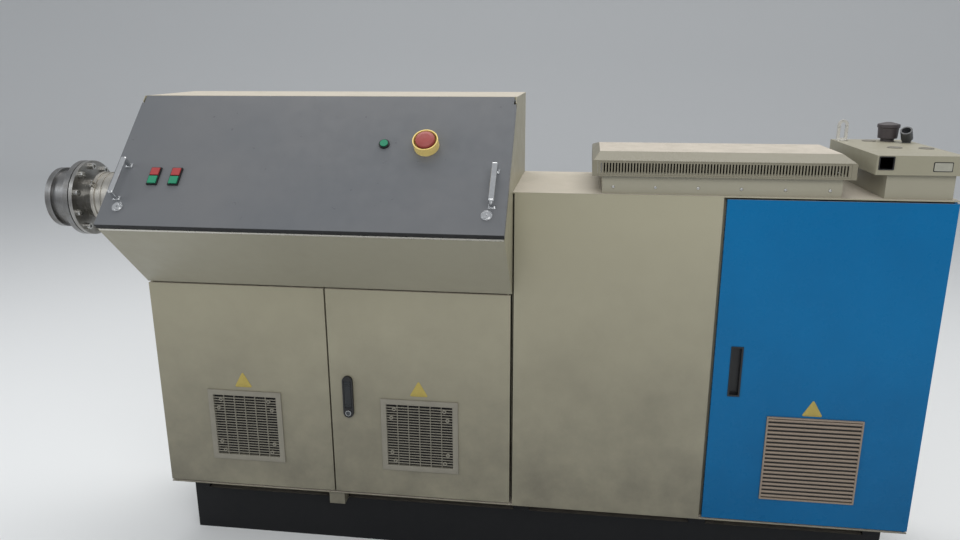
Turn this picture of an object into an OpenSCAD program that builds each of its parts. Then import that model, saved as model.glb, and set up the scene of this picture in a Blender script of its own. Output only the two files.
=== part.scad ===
// Single-screw plastic extruder in a floor-standing sheet-metal cabinet.
// X runs along the machine from the outlet to the drive end, Y from front to back, Z up.
// The origin is on the floor, in the middle of the machine's outer box.

/* [Cabinet] */
// Length of the barrel section, from the left side to the joint line
left_l = 1115; // [950:5:1400]
// Length of the drive section, from the joint line to the right side
right_l = 1155; // [1000:5:1500]
// Width of the bay behind the drive door
drive_bay = 584; // [450:1:700]
// Depth of the cabinet, front plane to back
depth = 410; // [380:5:600]
// Height of the door head, where the console's nose begins
head_z = 880; // [760:5:920]
// Height of the drive section's flat top
top_z = 1175; // [1165:5:1300]

/* [Console] */
// Reach of the console's nose in front of the doors
nose_out = 225; // [150:5:300]
// Height of the nose's tip
lip_z = 1103; // [1050:1:1160]
// Height of the console's flat top
console_z = 1427; // [1350:1:1500]
// Distance of the slope's upper edge behind the door plane
top_in = 100; // [60:5:140]

/* [Sheet metal] */
// Thickness of a panel
sheet = 2; // [1.5:0.5:3]
// Thickness of the floor pan and the drive section's top
plate = 3; // [2:0.5:5]
// Depth of a door leaf with its folded edges
leaf_t = 16; // [14:1:22]
// Running gap round a leaf that moves
run_gap = 5; // [5:0.5:8]
// Width of the dark joint beside a hinged edge
joint_gap = 9; // [9:0.5:14]
// Radius of a hinge pin
pin_r = 4; // [3:0.5:5]
// Play between a hinge pin and its hole
pin_play = 0.1; // [0.05:0.01:0.1]

/* [Base] */
// Height of the base channels
base_h = 150; // [100:5:180]
// Width of the base channels
base_w = 60; // [50:5:80]
// Steel thickness of the base channels
base_t = 8; // [6:1:10]
// Setback of the base channels from the cabinet's faces
base_in = 50; // [40:5:70]
// Height of the short posts between the base and the floor pan
post_h = 45; // [30:1:80]
// Side of a square post
post_w = 50; // [40:5:60]

/* [Barrel] */
// Height of the barrel's axis
axis_z = 1095; // [1080:1:1100]
// Radius of the screw bore
screw_r = 32.5; // [22.5:0.5:40]
// Outside radius of the barrel
barrel_r = 62; // [56:1:66]
// Outside radius of a heater band
band_r = 85; // [78:1:92]
// Number of heater bands
band_count = 5; // [3:1:6]
// Gap between two heater bands
band_gap = 26; // [20:1:40]
// Length of bare neck between the flange screws and the first heater band
neck_l = 26; // [16:1:40]
// Distance of the barrel flange's inner face from the cabinet's left side
flange_out = 278; // [240:1:320]
// Radius of the two bolted flanges
flange_r = 120; // [116:1:150]
// Thickness of the barrel's own flange
flange_t = 12; // [10:1:24]
// Gap between the rims of the two flanges
flange_gap = 3; // [2:0.5:6]
// Radius of the circle of flange screws
screw_circle_r = 102; // [98:1:106]
// Number of flange screws
screw_count = 10; // [6:1:12]
// Radius of a flange screw's head
head_r = 10; // [7:0.5:11]
// Height of a flange screw's head
head_h = 12; // [10:1:18]

/* [Outlet adapter] */
// Thickness of the adapter's flange
adapter_t = 18; // [14:1:35]
// Radius of the adapter's body
adapter_r = 87; // [76:1:90]
// Length of the adapter's body
adapter_l = 59; // [50:1:90]
// Radius of the outlet ring
outlet_ring_r = 96; // [93:1:104]
// Thickness of the outlet ring
outlet_ring_t = 18; // [12:1:24]
// Radius of the outlet spigot
spigot_r = 44; // [34:1:50]
// Length of the outlet spigot past its ring
spigot_l = 35; // [20:1:50]
// Radius of the outlet bore
outlet_r = 20; // [12:0.5:28]
// Radius of the circle of tapped holes in the outlet ring
outlet_circle_r = 68; // [64:1:72]
// Number of tapped holes in the outlet ring
outlet_count = 8; // [4:1:10]
// Radius of a tapped hole in the outlet ring
outlet_hole_r = 5; // [4:0.5:6]

/* [Vents and handles] */
// Height of the vents' centres
vent_z = 412; // [380:1:440]
// Side of a filter grille's outer frame
filter_w = 240; // [230:1:260]
// Side of a filter grille's slotted field
filter_field = 205; // [190:1:210]
// Rows of slots in a filter grille
filter_rows = 21; // [12:1:22]
// Columns of slots in a filter grille
filter_cols = 6; // [4:1:8]
// Side of the louvre vent's outer frame
louvre_w = 264; // [240:1:290]
// Number of louvre blades
louvre_count = 20; // [12:1:22]
// Height of the plane lock's centre
lock_z = 533; // [500:1:620]
// Length of the plane lock
lock_l = 136; // [110:1:160]
// Width of the plane lock
lock_w = 32; // [26:1:40]
// Distance of the plane lock's middle from its leaf's free edge
lock_in = 56; // [40:1:80]
// Height of the drive door handle's centre
grip_z = 675; // [600:1:800]
// Length of the drive door's handle
grip_l = 145; // [110:1:170]
// Width of the drive door's handle
grip_w = 28; // [22:1:40]
// Distance of the drive door handle's middle from the leaf's free edge
grip_in = 60; // [40:1:90]

/* [Controls on the cover] */
// Distance of the bow handles from the cover's ends
bow_in = 38; // [28:1:60]
// Place of a bow handle's lower foot, up the slope
bow_s = 86; // [80:1:110]
// Length of a bow handle
bow_l = 112; // [90:1:160]
// Width of a bow handle's flat bar
bow_w = 16; // [12:1:24]
// Height of a bow handle's bar above the cover
bow_h = 34; // [26:1:45]
// Half the thickness of a bow handle's bar
bow_r = 4.5; // [3.5:0.5:5.5]
// Distance of the quarter-turn locks from the cover's ends
turn_in = 50; // [40:1:70]
// Place of the quarter-turn locks up the slope
turn_s = 58; // [40:1:66]
// Radius of a quarter-turn lock
turn_r = 15; // [10:1:18]
// Distance of the emergency stop from the cover's left end
stop_x = 880; // [820:1:930]
// Place of the emergency stop up the slope
stop_s = 281; // [200:1:330]
// Radius of the emergency stop's collar
stop_collar_r = 35; // [35:1:40]
// Radius of the emergency stop's mushroom head
stop_r = 27; // [20:1:27]
// Distance of the round button from the cover's left end
round_x = 761; // [700:1:800]
// Place of the round button up the slope
round_s = 285; // [200:1:330]
// Distance of the first twin button from the cover's left end
twin_x = 125; // [100:1:140]
// Step between the twin buttons
twin_step = 62; // [45:1:90]
// Place of the twin buttons up the slope
twin_s = 162; // [140:1:300]
// Width of a twin button
twin_w = 30; // [28:1:36]
// Length of a twin button
twin_l = 58; // [55:1:66]

/* [Roof pieces] */
// Gap between the vented hood and the raised box
hood_gap = 44; // [30:1:60]
// Length of the vented hood
hood_l = 680; // [560:1:690]
// Height of the plinth under the hood
hood_lift = 49; // [30:1:70]
// Height of the hood's slotted skirt
hood_skirt = 43; // [36:1:70]
// Rise of the hood's sloped front band
hood_rise = 17; // [8:1:24]
// Depth of the hood's sloped front band
hood_band = 65; // [50:1:140]
// Depth of the hood's sloped back band
hood_back = 115; // [50:1:140]
// Spacing of the hood's slots
slot_pitch = 12; // [9:1:20]
// Length of the raised box at the right end
box_l = 216; // [190:1:240]
// Height of the raised box's body
box_lift = 64; // [40:1:90]
// Height of the raised box's lid
box_lid_h = 50; // [40:1:80]
// Overhang of the lid past its body on the hood's side
box_over = 34; // [20:1:50]
// Radius of the filler cap on the raised box
breather_r = 31; // [22:1:34]
// Height of the filler cap
breather_h = 56; // [40:1:70]
// Outside radius of the lifting eye's ring
eye_r = 15; // [13:0.5:20]
// Height of the lifting eye above the lid
eye_h = 62; // [50:1:80]

/* [Drive] */
// Height of the drive bed's top
bed_z = 700; // [600:5:740]
// Length of the gearbox
gear_l = 400; // [320:5:460]
// Width of the gearbox
gear_w = 250; // [220:5:290]
// Radius of the motor's frame
motor_r = 118; // [90:1:130]
// Length of the motor's finned frame
motor_l = 330; // [240:5:380]

/* [Hidden] */
$fn = 48;

// Clearance of a piece that is fitted into a cut-out
fit = 0.3;
// Far enough past a face for a clean cut
cut = 1;

body_l = left_l + right_l;
barrel_out = flange_out + flange_t + flange_gap + adapter_t + adapter_l + outlet_ring_t + spigot_l;
x_l = (barrel_out - body_l) / 2;
x_j = x_l + left_l;
x_r = x_l + body_l;
x_d = x_r - drive_bay;
x_out = x_l - barrel_out;
y_f = (nose_out - depth) / 2;
y_b = y_f + depth;
tip_y = y_f - nose_out;
axis_y = (y_f + y_b) / 2;

pan_z = base_h + post_h + plate;
door_z0 = pan_z + run_gap;
door_z1 = head_z - run_gap;
drive_z1 = top_z - plate - run_gap;
x_seam = (x_l + x_j - joint_gap / 2) / 2;

// A leaf turns about a pin inside its own thickness, and its corner sweeps this far behind it
hinge_in = leaf_t / 2;
sweep_r = hinge_in * sqrt(2);
frame_in = hinge_in + sweep_r + run_gap;

slope_run = nose_out + top_in;
slope_rise = console_z - lip_z;
slope_a = atan2(slope_rise, slope_run);
slope_l = norm([slope_run, slope_rise]);
ear_l = hinge_in * 2 + 6;
nose_start = leaf_t + run_gap;
top_front = y_f + top_in + sweep_r + run_gap;
cover_pin = slope_l - hinge_in;

BEIGE = [0.78, 0.75, 0.66];
SHADE = [0.62, 0.60, 0.52];
DARK = [0.25, 0.26, 0.27];
BLACK = [0.07, 0.07, 0.08];
STEEL = [0.66, 0.67, 0.68];
BLUE = [0.0, 0.38, 0.62];

// Point of the console's section, s up the slope from the tip and n out of it
function slope_pt(s, n) = [tip_y + s * cos(slope_a) - n * sin(slope_a),
    lip_z + s * sin(slope_a) + n * cos(slope_a)];

// Point of the console's underside, t down from the tip
function under_pt(t) = [tip_y, lip_z] + t * unit([nose_out, head_z - lip_z]);

function unit(v) = v / norm(v);
function left_of(v) = [-v[1], v[0]];

// Offset of a sheet's other face at a bend between the runs a and b, mitred
function mitre(a, b, t) = let (m = left_of(unit(a)), n = left_of(unit(b))) (m + n) * t / (1 + m * n);

// Offset of a sheet's other face at point i of its path
function face_step(path, i, t) = let (last = len(path) - 1)
    i == 0 ? left_of(unit(path[1] - path[0])) * t
    : i == last ? left_of(unit(path[last] - path[last - 1])) * t
    : mitre(path[i] - path[i - 1], path[i + 1] - path[i], t);

// Section of a folded sheet: the path of one face, and the other face to its left
module folded(path, t = sheet) polygon(concat(path,
    [for (i = [len(path) - 1:-1:0]) path[i] + face_step(path, i, t)]));

// Sections in Y and Z carried along X, and sections in X and Z carried along Y
module along_x(x0, x1) translate([x0, 0, 0]) rotate([90, 0, 90]) linear_extrude(x1 - x0) children();
module along_y(y0, y1) translate([0, y1, 0]) rotate([90, 0, 0]) linear_extrude(y1 - y0) children();

module block(low, high) translate(low) cube(high - low);
module rod_x(x0, x1, y, z, r) translate([x0, y, z]) rotate([0, 90, 0]) cylinder(h = x1 - x0, r = r);
module rod_y(y0, y1, x, z, r) translate([x, y1, z]) rotate([90, 0, 0]) cylinder(h = y1 - y0, r = r);
module rod_z(z0, z1, x, y, r) translate([x, y, z0]) cylinder(h = z1 - z0, r = r);
module on_slope() translate([0, tip_y, lip_z]) rotate([slope_a, 0, 0]) children();

// Holes for the door pins, from z0 to z1
module pin_holes(z0, z1, places) for (x = places) rod_z(z0, z1, x, y_f + hinge_in, pin_r + pin_play);

pin_a = x_l + hinge_in;
pin_b = x_j - joint_gap / 2 - hinge_in;
pin_d = x_r - hinge_in;

// Base

base_x0 = x_l + base_in;
base_x1 = x_r - base_in;

module front_beam() color(BLACK) along_x(base_x0, base_x1)
    difference() {
        translate([y_f + base_in, 0]) square([base_w, base_h]);
        translate([y_f + base_in + base_t, base_t]) square([base_w, base_h - 2 * base_t]);
    }

module rear_beam() color(BLACK) along_x(base_x0, base_x1)
    difference() {
        translate([y_b - base_in - base_w, 0]) square([base_w, base_h]);
        translate([y_b - base_in - base_w - base_t, base_t]) square([base_w, base_h - 2 * base_t]);
    }

post_count = 5;
function post_x(i) = i == 1 ? x_seam
    : i == 2 ? x_j + joint_gap / 2 + post_w / 2
    : i == 3 ? x_d
    : i == 0 ? base_x0 + post_w / 2 : base_x1 - post_w / 2;

module cross_members() color(BLACK) for (i = [0:post_count - 1])
    block([post_x(i) - post_w / 2, y_f + base_in + base_w, base_t],
        [post_x(i) + post_w / 2, y_b - base_in - base_w, base_h - base_t]);

module floor_posts() color(BLACK) for (i = [0:post_count - 1], y = [y_f + base_in, y_b - base_in - post_w])
    block([post_x(i) - post_w / 2, y, base_h], [post_x(i) + post_w / 2, y + post_w, pan_z - plate]);

module floor_pan() color(BEIGE) difference() {
    block([x_l, y_f, pan_z - plate], [x_r, y_b, pan_z]);
    pin_holes(pan_z - plate - cut, pan_z + cut, [pin_a, pin_b, pin_d]);
}

// Square foot under the two doors' seam, nearly flush with them
foot_in = 10;
module seam_foot() color(BEIGE) block([x_seam - post_w / 2, y_f + foot_in, base_h],
    [x_seam + post_w / 2, y_f + base_in - fit, pan_z - plate]);

// Barrel section: sides, posts and back

// The side sheet runs from the pan to the console's top, with an ear at the cover's hinge
function side_outline() = [[y_f + frame_in, pan_z], [y_b, pan_z], [y_b, console_z], slope_pt(slope_l, 0),
    slope_pt(slope_l - ear_l, 0), slope_pt(slope_l - ear_l, -nose_start), under_pt(nose_start),
    [y_f, head_z], [y_f + frame_in, head_z]];

module side_sheet(x0, hole_r) let (pin = slope_pt(cover_pin, -hinge_in)) difference() {
    along_x(x0, x0 + sheet) polygon(side_outline());
    rod_x(x0 - cut, x0 + sheet + cut, axis_y, axis_z, hole_r);
    rod_x(x0 - cut, x0 + sheet + cut, pin[0], pin[1], pin_r + pin_play);
}

// Air gap round the heater bands where they leave the cabinet
barrel_gap = 20;
module left_side() color(BEIGE) side_sheet(x_l, band_r + barrel_gap);

module bulkhead() color(BEIGE) side_sheet(x_j - sheet, barrel_r + fit);

// Upright behind the seam of the two doors, and the one behind the drive door's free edge
module frame_posts() color(BEIGE) for (post = [[x_seam, head_z], [x_d, top_z - plate]])
    block([post[0] - post_w / 2, y_f + frame_in, pan_z],
        [post[0] + post_w / 2, y_f + frame_in + post_w, post[1]]);

module left_back() color(SHADE)
    block([x_l + sheet, y_b - sheet, pan_z], [x_j - sheet, y_b, console_z - sheet]);

bench_t = 4;
bench_front = y_f + frame_in + sheet;

module bench() color(SHADE)
    block([x_l + sheet, bench_front, head_z], [x_j - sheet, y_b - sheet, head_z + bench_t]);

// Folded nose: inner flange under the cover, sloped underside, flange over the doors
nose_flange = 24;
module nose_panel() color(SHADE) difference() {
    along_x(x_l + sheet, x_j - sheet)
        folded([under_pt(nose_start) + nose_flange * [cos(slope_a), sin(slope_a)], under_pt(nose_start),
            [y_f, head_z], [bench_front, head_z]]);
    pin_holes(head_z - cut, head_z + sheet + cut, [pin_a, pin_b]);
}

top_flange = 20;
module console_top() color(BEIGE) along_x(x_l + sheet, x_j - sheet)
    folded([[top_front, console_z - top_flange], [top_front, console_z], [y_b, console_z]], -sheet);

// Galvanised plate for the electrical gear, on four studs from the back
plate_in = 60;
stud_l = 30;
stud_r = 8;
module mounting_plate() color(STEEL) {
    block([x_l + sheet + plate_in, y_b - sheet - stud_l - plate, pan_z + plate_in],
        [x_j - sheet - plate_in, y_b - sheet - stud_l, head_z - plate_in]);
    for (x = [x_l + sheet + 2 * plate_in, x_j - sheet - 2 * plate_in],
        z = [pan_z + 2 * plate_in, head_z - 2 * plate_in])
        rod_y(y_b - sheet - stud_l - plate / 2, y_b - sheet, x, z, stud_r);
}

// Drive section

// Folded tray that closes a front bay: a face with four edges turned back
module tray(x0, x1, z0, z1) difference() {
    block([x0, y_f, z0], [x1, y_f + leaf_t, z1]);
    block([x0 + sheet, y_f + sheet, z0 + sheet], [x1 - sheet, y_f + leaf_t + cut, z1 - sheet]);
}

// The fixed front, with two lugs that fasten it to the post behind its right edge
module fixed_panel() color(BEIGE) {
    tray(x_j + joint_gap / 2, x_d - joint_gap / 2, pan_z, top_z - plate);
    for (z = [pan_z + post_w, top_z - 2 * post_w])
        block([x_d - post_w / 2, y_f + sheet, z], [x_d - joint_gap / 2 - sheet, y_f + frame_in, z + post_w]);
}

module right_back() color(BEIGE)
    block([x_j, y_b - sheet, pan_z], [x_r - sheet, y_b, top_z - plate]);

module right_end() color(BEIGE)
    block([x_r - sheet, y_f + frame_in, pan_z], [x_r, y_b, top_z - plate]);

module top_panel() color(BEIGE) difference() {
    block([x_j, y_f, top_z - plate], [x_r, y_b, top_z]);
    pin_holes(top_z - plate - cut, top_z + cut, [pin_d]);
}

// Barrel and its head

flange_x = x_l - flange_out;
gear_in = 60;
gear_x = x_j + gear_in;

module barrel() color(STEEL) difference() {
    union() {
        rod_x(flange_x - flange_t, gear_x, axis_y, axis_z, barrel_r);
        rod_x(flange_x - flange_t, flange_x, axis_y, axis_z, flange_r);
    }
    rod_x(flange_x - flange_t - cut, gear_x - barrel_r, axis_y, axis_z, screw_r);
}

band_in = 30;
band_step = 3;
band_strap = 12;
band_rib = 5;
rib_count = 7;
term_l = 52;
term_w = 40;
term_h = 24;
band_x0 = flange_x + head_h + neck_l;
band_x1 = x_j - sheet - band_in;
band_l = (band_x1 - band_x0 - (band_count - 1) * band_gap) / band_count;
function band_at(i) = band_x0 + i * (band_l + band_gap);

// Each band is a ribbed sleeve between two straps, with a terminal box on top
module heater_band(x0) difference() {
    union() {
        rod_x(x0, x0 + band_l, axis_y, axis_z, band_r - band_step);
        for (x = [x0, x0 + band_l - band_strap]) rod_x(x, x + band_strap, axis_y, axis_z, band_r);
        for (k = [1:rib_count]) let (x = x0 + k * band_l / (rib_count + 1) - band_rib / 2)
            rod_x(x, x + band_rib, axis_y, axis_z, band_r - band_step / 3);
        block([x0 + band_l / 2 - term_l / 2, axis_y - term_w / 2, axis_z + (barrel_r + band_r) / 2],
            [x0 + band_l / 2 + term_l / 2, axis_y + term_w / 2, axis_z + band_r + term_h]);
    }
    rod_x(x0 - cut, x0 + band_l + cut, axis_y, axis_z, barrel_r + fit);
}

module heater_bands() color(STEEL) for (i = [0:band_count - 1]) heater_band(band_at(i));

register_r = screw_circle_r - head_r - 2 * flange_gap;
adapter_x = flange_x - flange_t - flange_gap;
ring_x = adapter_x - adapter_t - adapter_l;

module adapter() color(STEEL) difference() {
    union() {
        rod_x(adapter_x - adapter_t, adapter_x, axis_y, axis_z, flange_r);
        rod_x(adapter_x - cut, adapter_x + flange_gap, axis_y, axis_z, register_r);
        rod_x(ring_x, adapter_x - adapter_t + cut, axis_y, axis_z, adapter_r);
        rod_x(ring_x - outlet_ring_t, ring_x + cut, axis_y, axis_z, outlet_ring_r);
        rod_x(x_out, ring_x, axis_y, axis_z, spigot_r);
    }
    rod_x(x_out - cut, adapter_x + flange_gap + cut, axis_y, axis_z, outlet_r);
    for (i = [0:outlet_count - 1]) translate([ring_x - outlet_ring_t, axis_y, axis_z])
        rotate([i * 360 / outlet_count, 0, 0]) translate([-cut, 0, outlet_circle_r]) rotate([0, 90, 0])
            cylinder(h = outlet_ring_t + adapter_l / 3, r = outlet_hole_r);
}

module flange_screws() color(BLACK) for (i = [0:screw_count - 1]) translate([flange_x, axis_y, axis_z])
    rotate([i * 360 / screw_count, 0, 0]) translate([0, 0, screw_circle_r]) rotate([0, 90, 0])
        difference() {
            cylinder(h = head_h, r = head_r);
            translate([0, 0, head_h / 2]) cylinder(h = head_h, r = head_r * 0.55, $fn = 6);
        }

// Saddle under the barrel, in the gap before the last heater band
saddle_t = band_gap * 0.6;
saddle_x = band_at(band_count - 1) - band_gap / 2 - saddle_t / 2;
saddle_w = barrel_r * 1.15;
saddle_foot = 12;

module barrel_saddle() color(DARK) difference() {
    union() {
        block([saddle_x, axis_y - saddle_w, head_z + bench_t + plate],
            [saddle_x + saddle_t, axis_y + saddle_w, axis_z]);
        block([saddle_x - saddle_foot, axis_y - saddle_w - saddle_foot, head_z + bench_t],
            [saddle_x + saddle_t + saddle_foot, axis_y + saddle_w + saddle_foot, head_z + bench_t + plate]);
    }
    rod_x(saddle_x - cut, saddle_x + saddle_t + cut, axis_y, axis_z, barrel_r + fit);
}

// Drive

gear_y0 = axis_y - gear_w / 2;
gear_y1 = axis_y + gear_w / 2;
gear_wall = 8;
gear_top = axis_z + barrel_r + gear_wall;
foot_h = 18;
foot_w = 14;
foot_hole_r = 5;
rib_t = 12;
joint_h = 20;
adapter_ring_l = 30;
motor_x0 = gear_x + gear_l;
motor_z = bed_z + foot_h + motor_r;
leg_t = 40;
bed_x1 = motor_x0 + motor_l + leg_t;
bed_t = 12;

module drive_bed() color(DARK) {
    block([gear_x, gear_y0, bed_z - bed_t], [bed_x1, gear_y1, bed_z]);
    for (x = [gear_x, x_d - leg_t / 2, bed_x1 - leg_t])
        block([x, gear_y0, pan_z], [x + leg_t, gear_y1, bed_z - bed_t]);
}

// Cast housing with a drilled foot, ribs on its long sides and a cover joint round it
module gearbox() color([0.35, 0.42, 0.46]) difference() {
    union() {
        block([gear_x, gear_y0 + foot_w, bed_z], [gear_x + gear_l, gear_y1 - foot_w, gear_top]);
        block([gear_x, gear_y0, bed_z], [gear_x + gear_l, gear_y1, bed_z + foot_h]);
        block([gear_x, gear_y0, motor_z - joint_h / 2], [gear_x + gear_l, gear_y1, motor_z + joint_h / 2]);
        for (i = [1:4]) let (x = gear_x + i * gear_l / 5)
            block([x - rib_t / 2, gear_y0 + gear_wall / 2, bed_z + foot_h / 2],
                [x + rib_t / 2, gear_y1 - gear_wall / 2, gear_top - joint_h]);
        rod_x(motor_x0 - adapter_ring_l, motor_x0, axis_y, motor_z, motor_r - gear_wall / 2);
    }
    for (x = [gear_x + leg_t, motor_x0 - leg_t], y = [gear_y0 + foot_w / 2, gear_y1 - foot_w / 2])
        rod_z(bed_z - cut, bed_z + foot_h + cut, x, y, foot_hole_r);
}

fin_count = 36;
fin_h = 14;
fin_t = 3;
bell_l = 34;
motor_foot = 50;
gland_l = 110;
gland_w = 100;
gland_h = 46;

// Fan-cooled motor: bells, finned frame, fan cowl, feet and terminal box
module motor() color([0.30, 0.36, 0.42]) {
    rod_x(motor_x0, motor_x0 + motor_l, axis_y, motor_z, motor_r - fin_h);
    for (x = [motor_x0, motor_x0 + motor_l - bell_l]) rod_x(x, x + bell_l, axis_y, motor_z, motor_r - 2);
    for (i = [0:fin_count - 1]) translate([motor_x0 + bell_l - cut, axis_y, motor_z])
        rotate([i * 360 / fin_count, 0, 0]) block([0, -fin_t / 2, motor_r - fin_h - fin_t],
            [motor_l - 2 * bell_l + 2 * cut, fin_t / 2, motor_r - fin_t / 3]);
    block([motor_x0 + motor_foot, axis_y - motor_r * 0.9, bed_z],
        [motor_x0 + motor_l - motor_foot, axis_y + motor_r * 0.9, bed_z + foot_h]);
    for (y = [axis_y - motor_r * 0.62, axis_y + motor_r * 0.62 - foot_h])
        block([motor_x0 + motor_foot + fin_h, y, bed_z],
            [motor_x0 + motor_l - motor_foot - fin_h, y + foot_h, motor_z - motor_r * 0.5]);
    block([motor_x0 + motor_l / 2 - gland_l / 2, axis_y - gland_w / 2, motor_z + motor_r - fin_h - fin_t],
        [motor_x0 + motor_l / 2 + gland_l / 2, axis_y + gland_w / 2, motor_z + motor_r + gland_h]);
}

// Roof pieces

box_x0 = x_r - box_l;
hood_x1 = box_x0 - hood_gap;
hood_x0 = hood_x1 - hood_l;
hood_z0 = top_z + hood_lift;
hood_z1 = hood_z0 + hood_skirt;
hood_z2 = hood_z1 + hood_rise;
plinth_in = 28;
plinth_y = 14;
plinth_z1 = hood_z0 + 10;

// Upstand round the vent, with a tab at each end that carries the hood's roof
module hood_plinth() color(SHADE) {
    difference() {
        block([hood_x0 + plinth_in, y_f + plinth_y, top_z],
            [hood_x1 - plinth_in, y_b - plinth_y, plinth_z1]);
        block([hood_x0 + plinth_in + sheet, y_f + plinth_y + sheet, top_z - cut],
            [hood_x1 - plinth_in - sheet, y_b - plinth_y - sheet, plinth_z1 + cut]);
    }
    for (x = [hood_x0 + plinth_in, hood_x1 - plinth_in - sheet])
        block([x, y_f + hood_band, hood_z0], [x + sheet, y_b - hood_back, hood_z2 - sheet - fit]);
}

// The hood's two outlines, o inside its faces: across, with sloped bands, and along, with cut corners
module hood_across(o) polygon([[y_f + o, hood_z0 - cut * o], [y_f + o, hood_z1 - o / 2],
    [y_f + hood_band, hood_z2 - o], [y_b - hood_back, hood_z2 - o], [y_b - o, hood_z1 - o / 2],
    [y_b - o, hood_z0 - cut * o]]);

corner = 20;
module hood_along(o) polygon([[hood_x0 + o, hood_z0 - cut * o], [hood_x0 + o, hood_z2 - corner],
    [hood_x0 + corner, hood_z2 - o], [hood_x1 - corner, hood_z2 - o], [hood_x1 - o, hood_z2 - corner],
    [hood_x1 - o, hood_z0 - cut * o]]);

module hood_form(o) intersection() {
    along_x(hood_x0, hood_x1) hood_across(o);
    along_y(y_f, y_b) hood_along(o);
}

slot_edge = 14;
slot_rim = 3;
window_z0 = hood_z0 + 4;
window_z1 = hood_z1 - slot_rim;

module hood() color(BEIGE) difference() {
    hood_form(0);
    hood_form(sheet);
    block([hood_x0 + slot_edge, y_f - cut, window_z0], [hood_x1 - slot_edge, y_b + cut, window_z1]);
}

slot_n = floor((hood_l - 2 * slot_edge - slot_pitch) / slot_pitch);
slot_w = slot_pitch / 2;
function slot_at(i) = (hood_x0 + hood_x1) / 2 + (i - (slot_n - 1) / 2) * slot_pitch;

// Slotted plates in the hood's two long skirts
module hood_grilles() color(BEIGE) for (y = [y_f, y_b - sheet]) difference() {
    block([hood_x0 + slot_edge + fit, y, window_z0 + fit],
        [hood_x1 - slot_edge - fit, y + sheet, window_z1 - fit]);
    for (i = [0:slot_n - 1]) block([slot_at(i) - slot_w / 2, y - cut, window_z0 + slot_rim],
        [slot_at(i) + slot_w / 2, y + sheet + cut, window_z1 - slot_rim]);
}

box_z1 = top_z + box_lift;
box_z2 = box_z1 + box_lid_h;
box_in = 14;
port_x = box_x0 + box_l / 9;
port_w = 36;
port_h = 33;
plug_r = 17;
// Covered holes in the lid, as shares of its length and depth
plug_places = [[0.49, 0.45], [0.85, 0.42], [0.44, 0.88]];

// Neck under the lid, set back furthest on the hood's side
module box_body() color(SHADE) difference() {
    block([box_x0 + box_over, y_f + box_in, top_z], [x_r - box_in, y_b - box_in, box_z1]);
    block([box_x0 + box_over + plate, y_f + box_in + plate, top_z - cut],
        [x_r - box_in - plate, y_b - box_in - plate, box_z1 + cut]);
}

module box_lid() color(BEIGE) difference() {
    block([box_x0, y_f, box_z1], [x_r, y_b, box_z2]);
    block([box_x0 + plate, y_f + plate, box_z1 + plate], [x_r - plate, y_b - plate, box_z2 - plate]);
    block([box_x0 + box_over + plate, y_f + box_in + plate, box_z1 - cut],
        [x_r - box_in - plate, y_b - box_in - plate, box_z1 + plate + cut]);
    block([port_x - port_w / 2, y_f - cut, box_z2 - plate - port_h],
        [port_x + port_w / 2, y_f + plate + cut, box_z2 - plate]);
    for (p = plug_places)
        rod_z(box_z2 - plate - cut, box_z2 + cut, box_x0 + p[0] * box_l, y_f + p[1] * depth, plug_r);
}

// Filler cap, half of its section: neck, tapered drum, rim and low cone
breather_x = box_x0 + box_l * 0.68;
breather_y = y_b - 1.5 * breather_r;
function breather_side() = [[0, 0], [0.6, 0], [0.6, 0.14], [0.86, 0.17], [0.92, 0.7], [1, 0.73], [1, 0.88],
    [0.94, 0.91], [0.3, 1], [0, 1]];
module breather() color(BLACK) translate([breather_x, breather_y, box_z2]) rotate_extrude()
    polygon([for (p = breather_side()) [p[0] * breather_r, p[1] * breather_h]]);

// Lifting eye: a tall flat loop with a round head, welded to a collar
eye_x = box_x0 + box_l / 11;
eye_y = y_b - 2.6 * eye_r;
eye_bar = eye_r * 0.54;
collar_t = 4;
module eye_loop(r, z0) {
    translate([0, eye_h - eye_r]) circle(r = r);
    translate([-r, z0]) square([2 * r, eye_h - eye_r - z0]);
}

module lifting_eye() color(STEEL) translate([eye_x, eye_y, box_z2]) {
    cylinder(h = collar_t, r = eye_r + collar_t / 2);
    along_y(-eye_bar / 2, eye_bar / 2) difference() {
        eye_loop(eye_r, 0);
        eye_loop(eye_r - eye_bar, collar_t + eye_bar / 2);
    }
}

// Short vent pipe on a hexagon base, its open end turned to the front and the hood
stub_r = 16;
stub_l = 32;
stub_wall = 4;
stub_x = x_r - box_l / 8;
stub_y = y_f + depth * 0.8;
module vent_stub() color(DARK) translate([stub_x, stub_y, box_z2]) {
    cylinder(h = stub_wall * 3, r = stub_r * 0.8, $fn = 6);
    translate([0, 0, stub_wall * 3]) rotate([32, -24, 0]) difference() {
        cylinder(h = stub_l, r = stub_r);
        translate([0, 0, stub_l / 2]) cylinder(h = stub_l, r = stub_r - stub_wall);
    }
}

// Door leaves

pin_block = leaf_t;

// Leaf with a cut-out for its vent, corner blocks and two pins that end flush with the sheets they turn in
module leaf(x0, x1, z0, z1, over, pin_x, hole_x, hole_w) {
    difference() {
        union() {
            tray(x0, x1, z0, z1);
            for (z = [z0, z1 - pin_block])
                block([pin_x - hinge_in, y_f, z], [pin_x + hinge_in, y_f + leaf_t, z + pin_block]);
        }
        block([hole_x - hole_w / 2, y_f - cut, vent_z - hole_w / 2],
            [hole_x + hole_w / 2, y_f + leaf_t + cut, vent_z + hole_w / 2]);
        children();
    }
    rod_z(z0 - run_gap - plate, z0 + cut, pin_x, y_f + hinge_in, pin_r);
    rod_z(z1 - cut, z1 + run_gap + over - fit, pin_x, y_f + hinge_in, pin_r);
}

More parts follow.
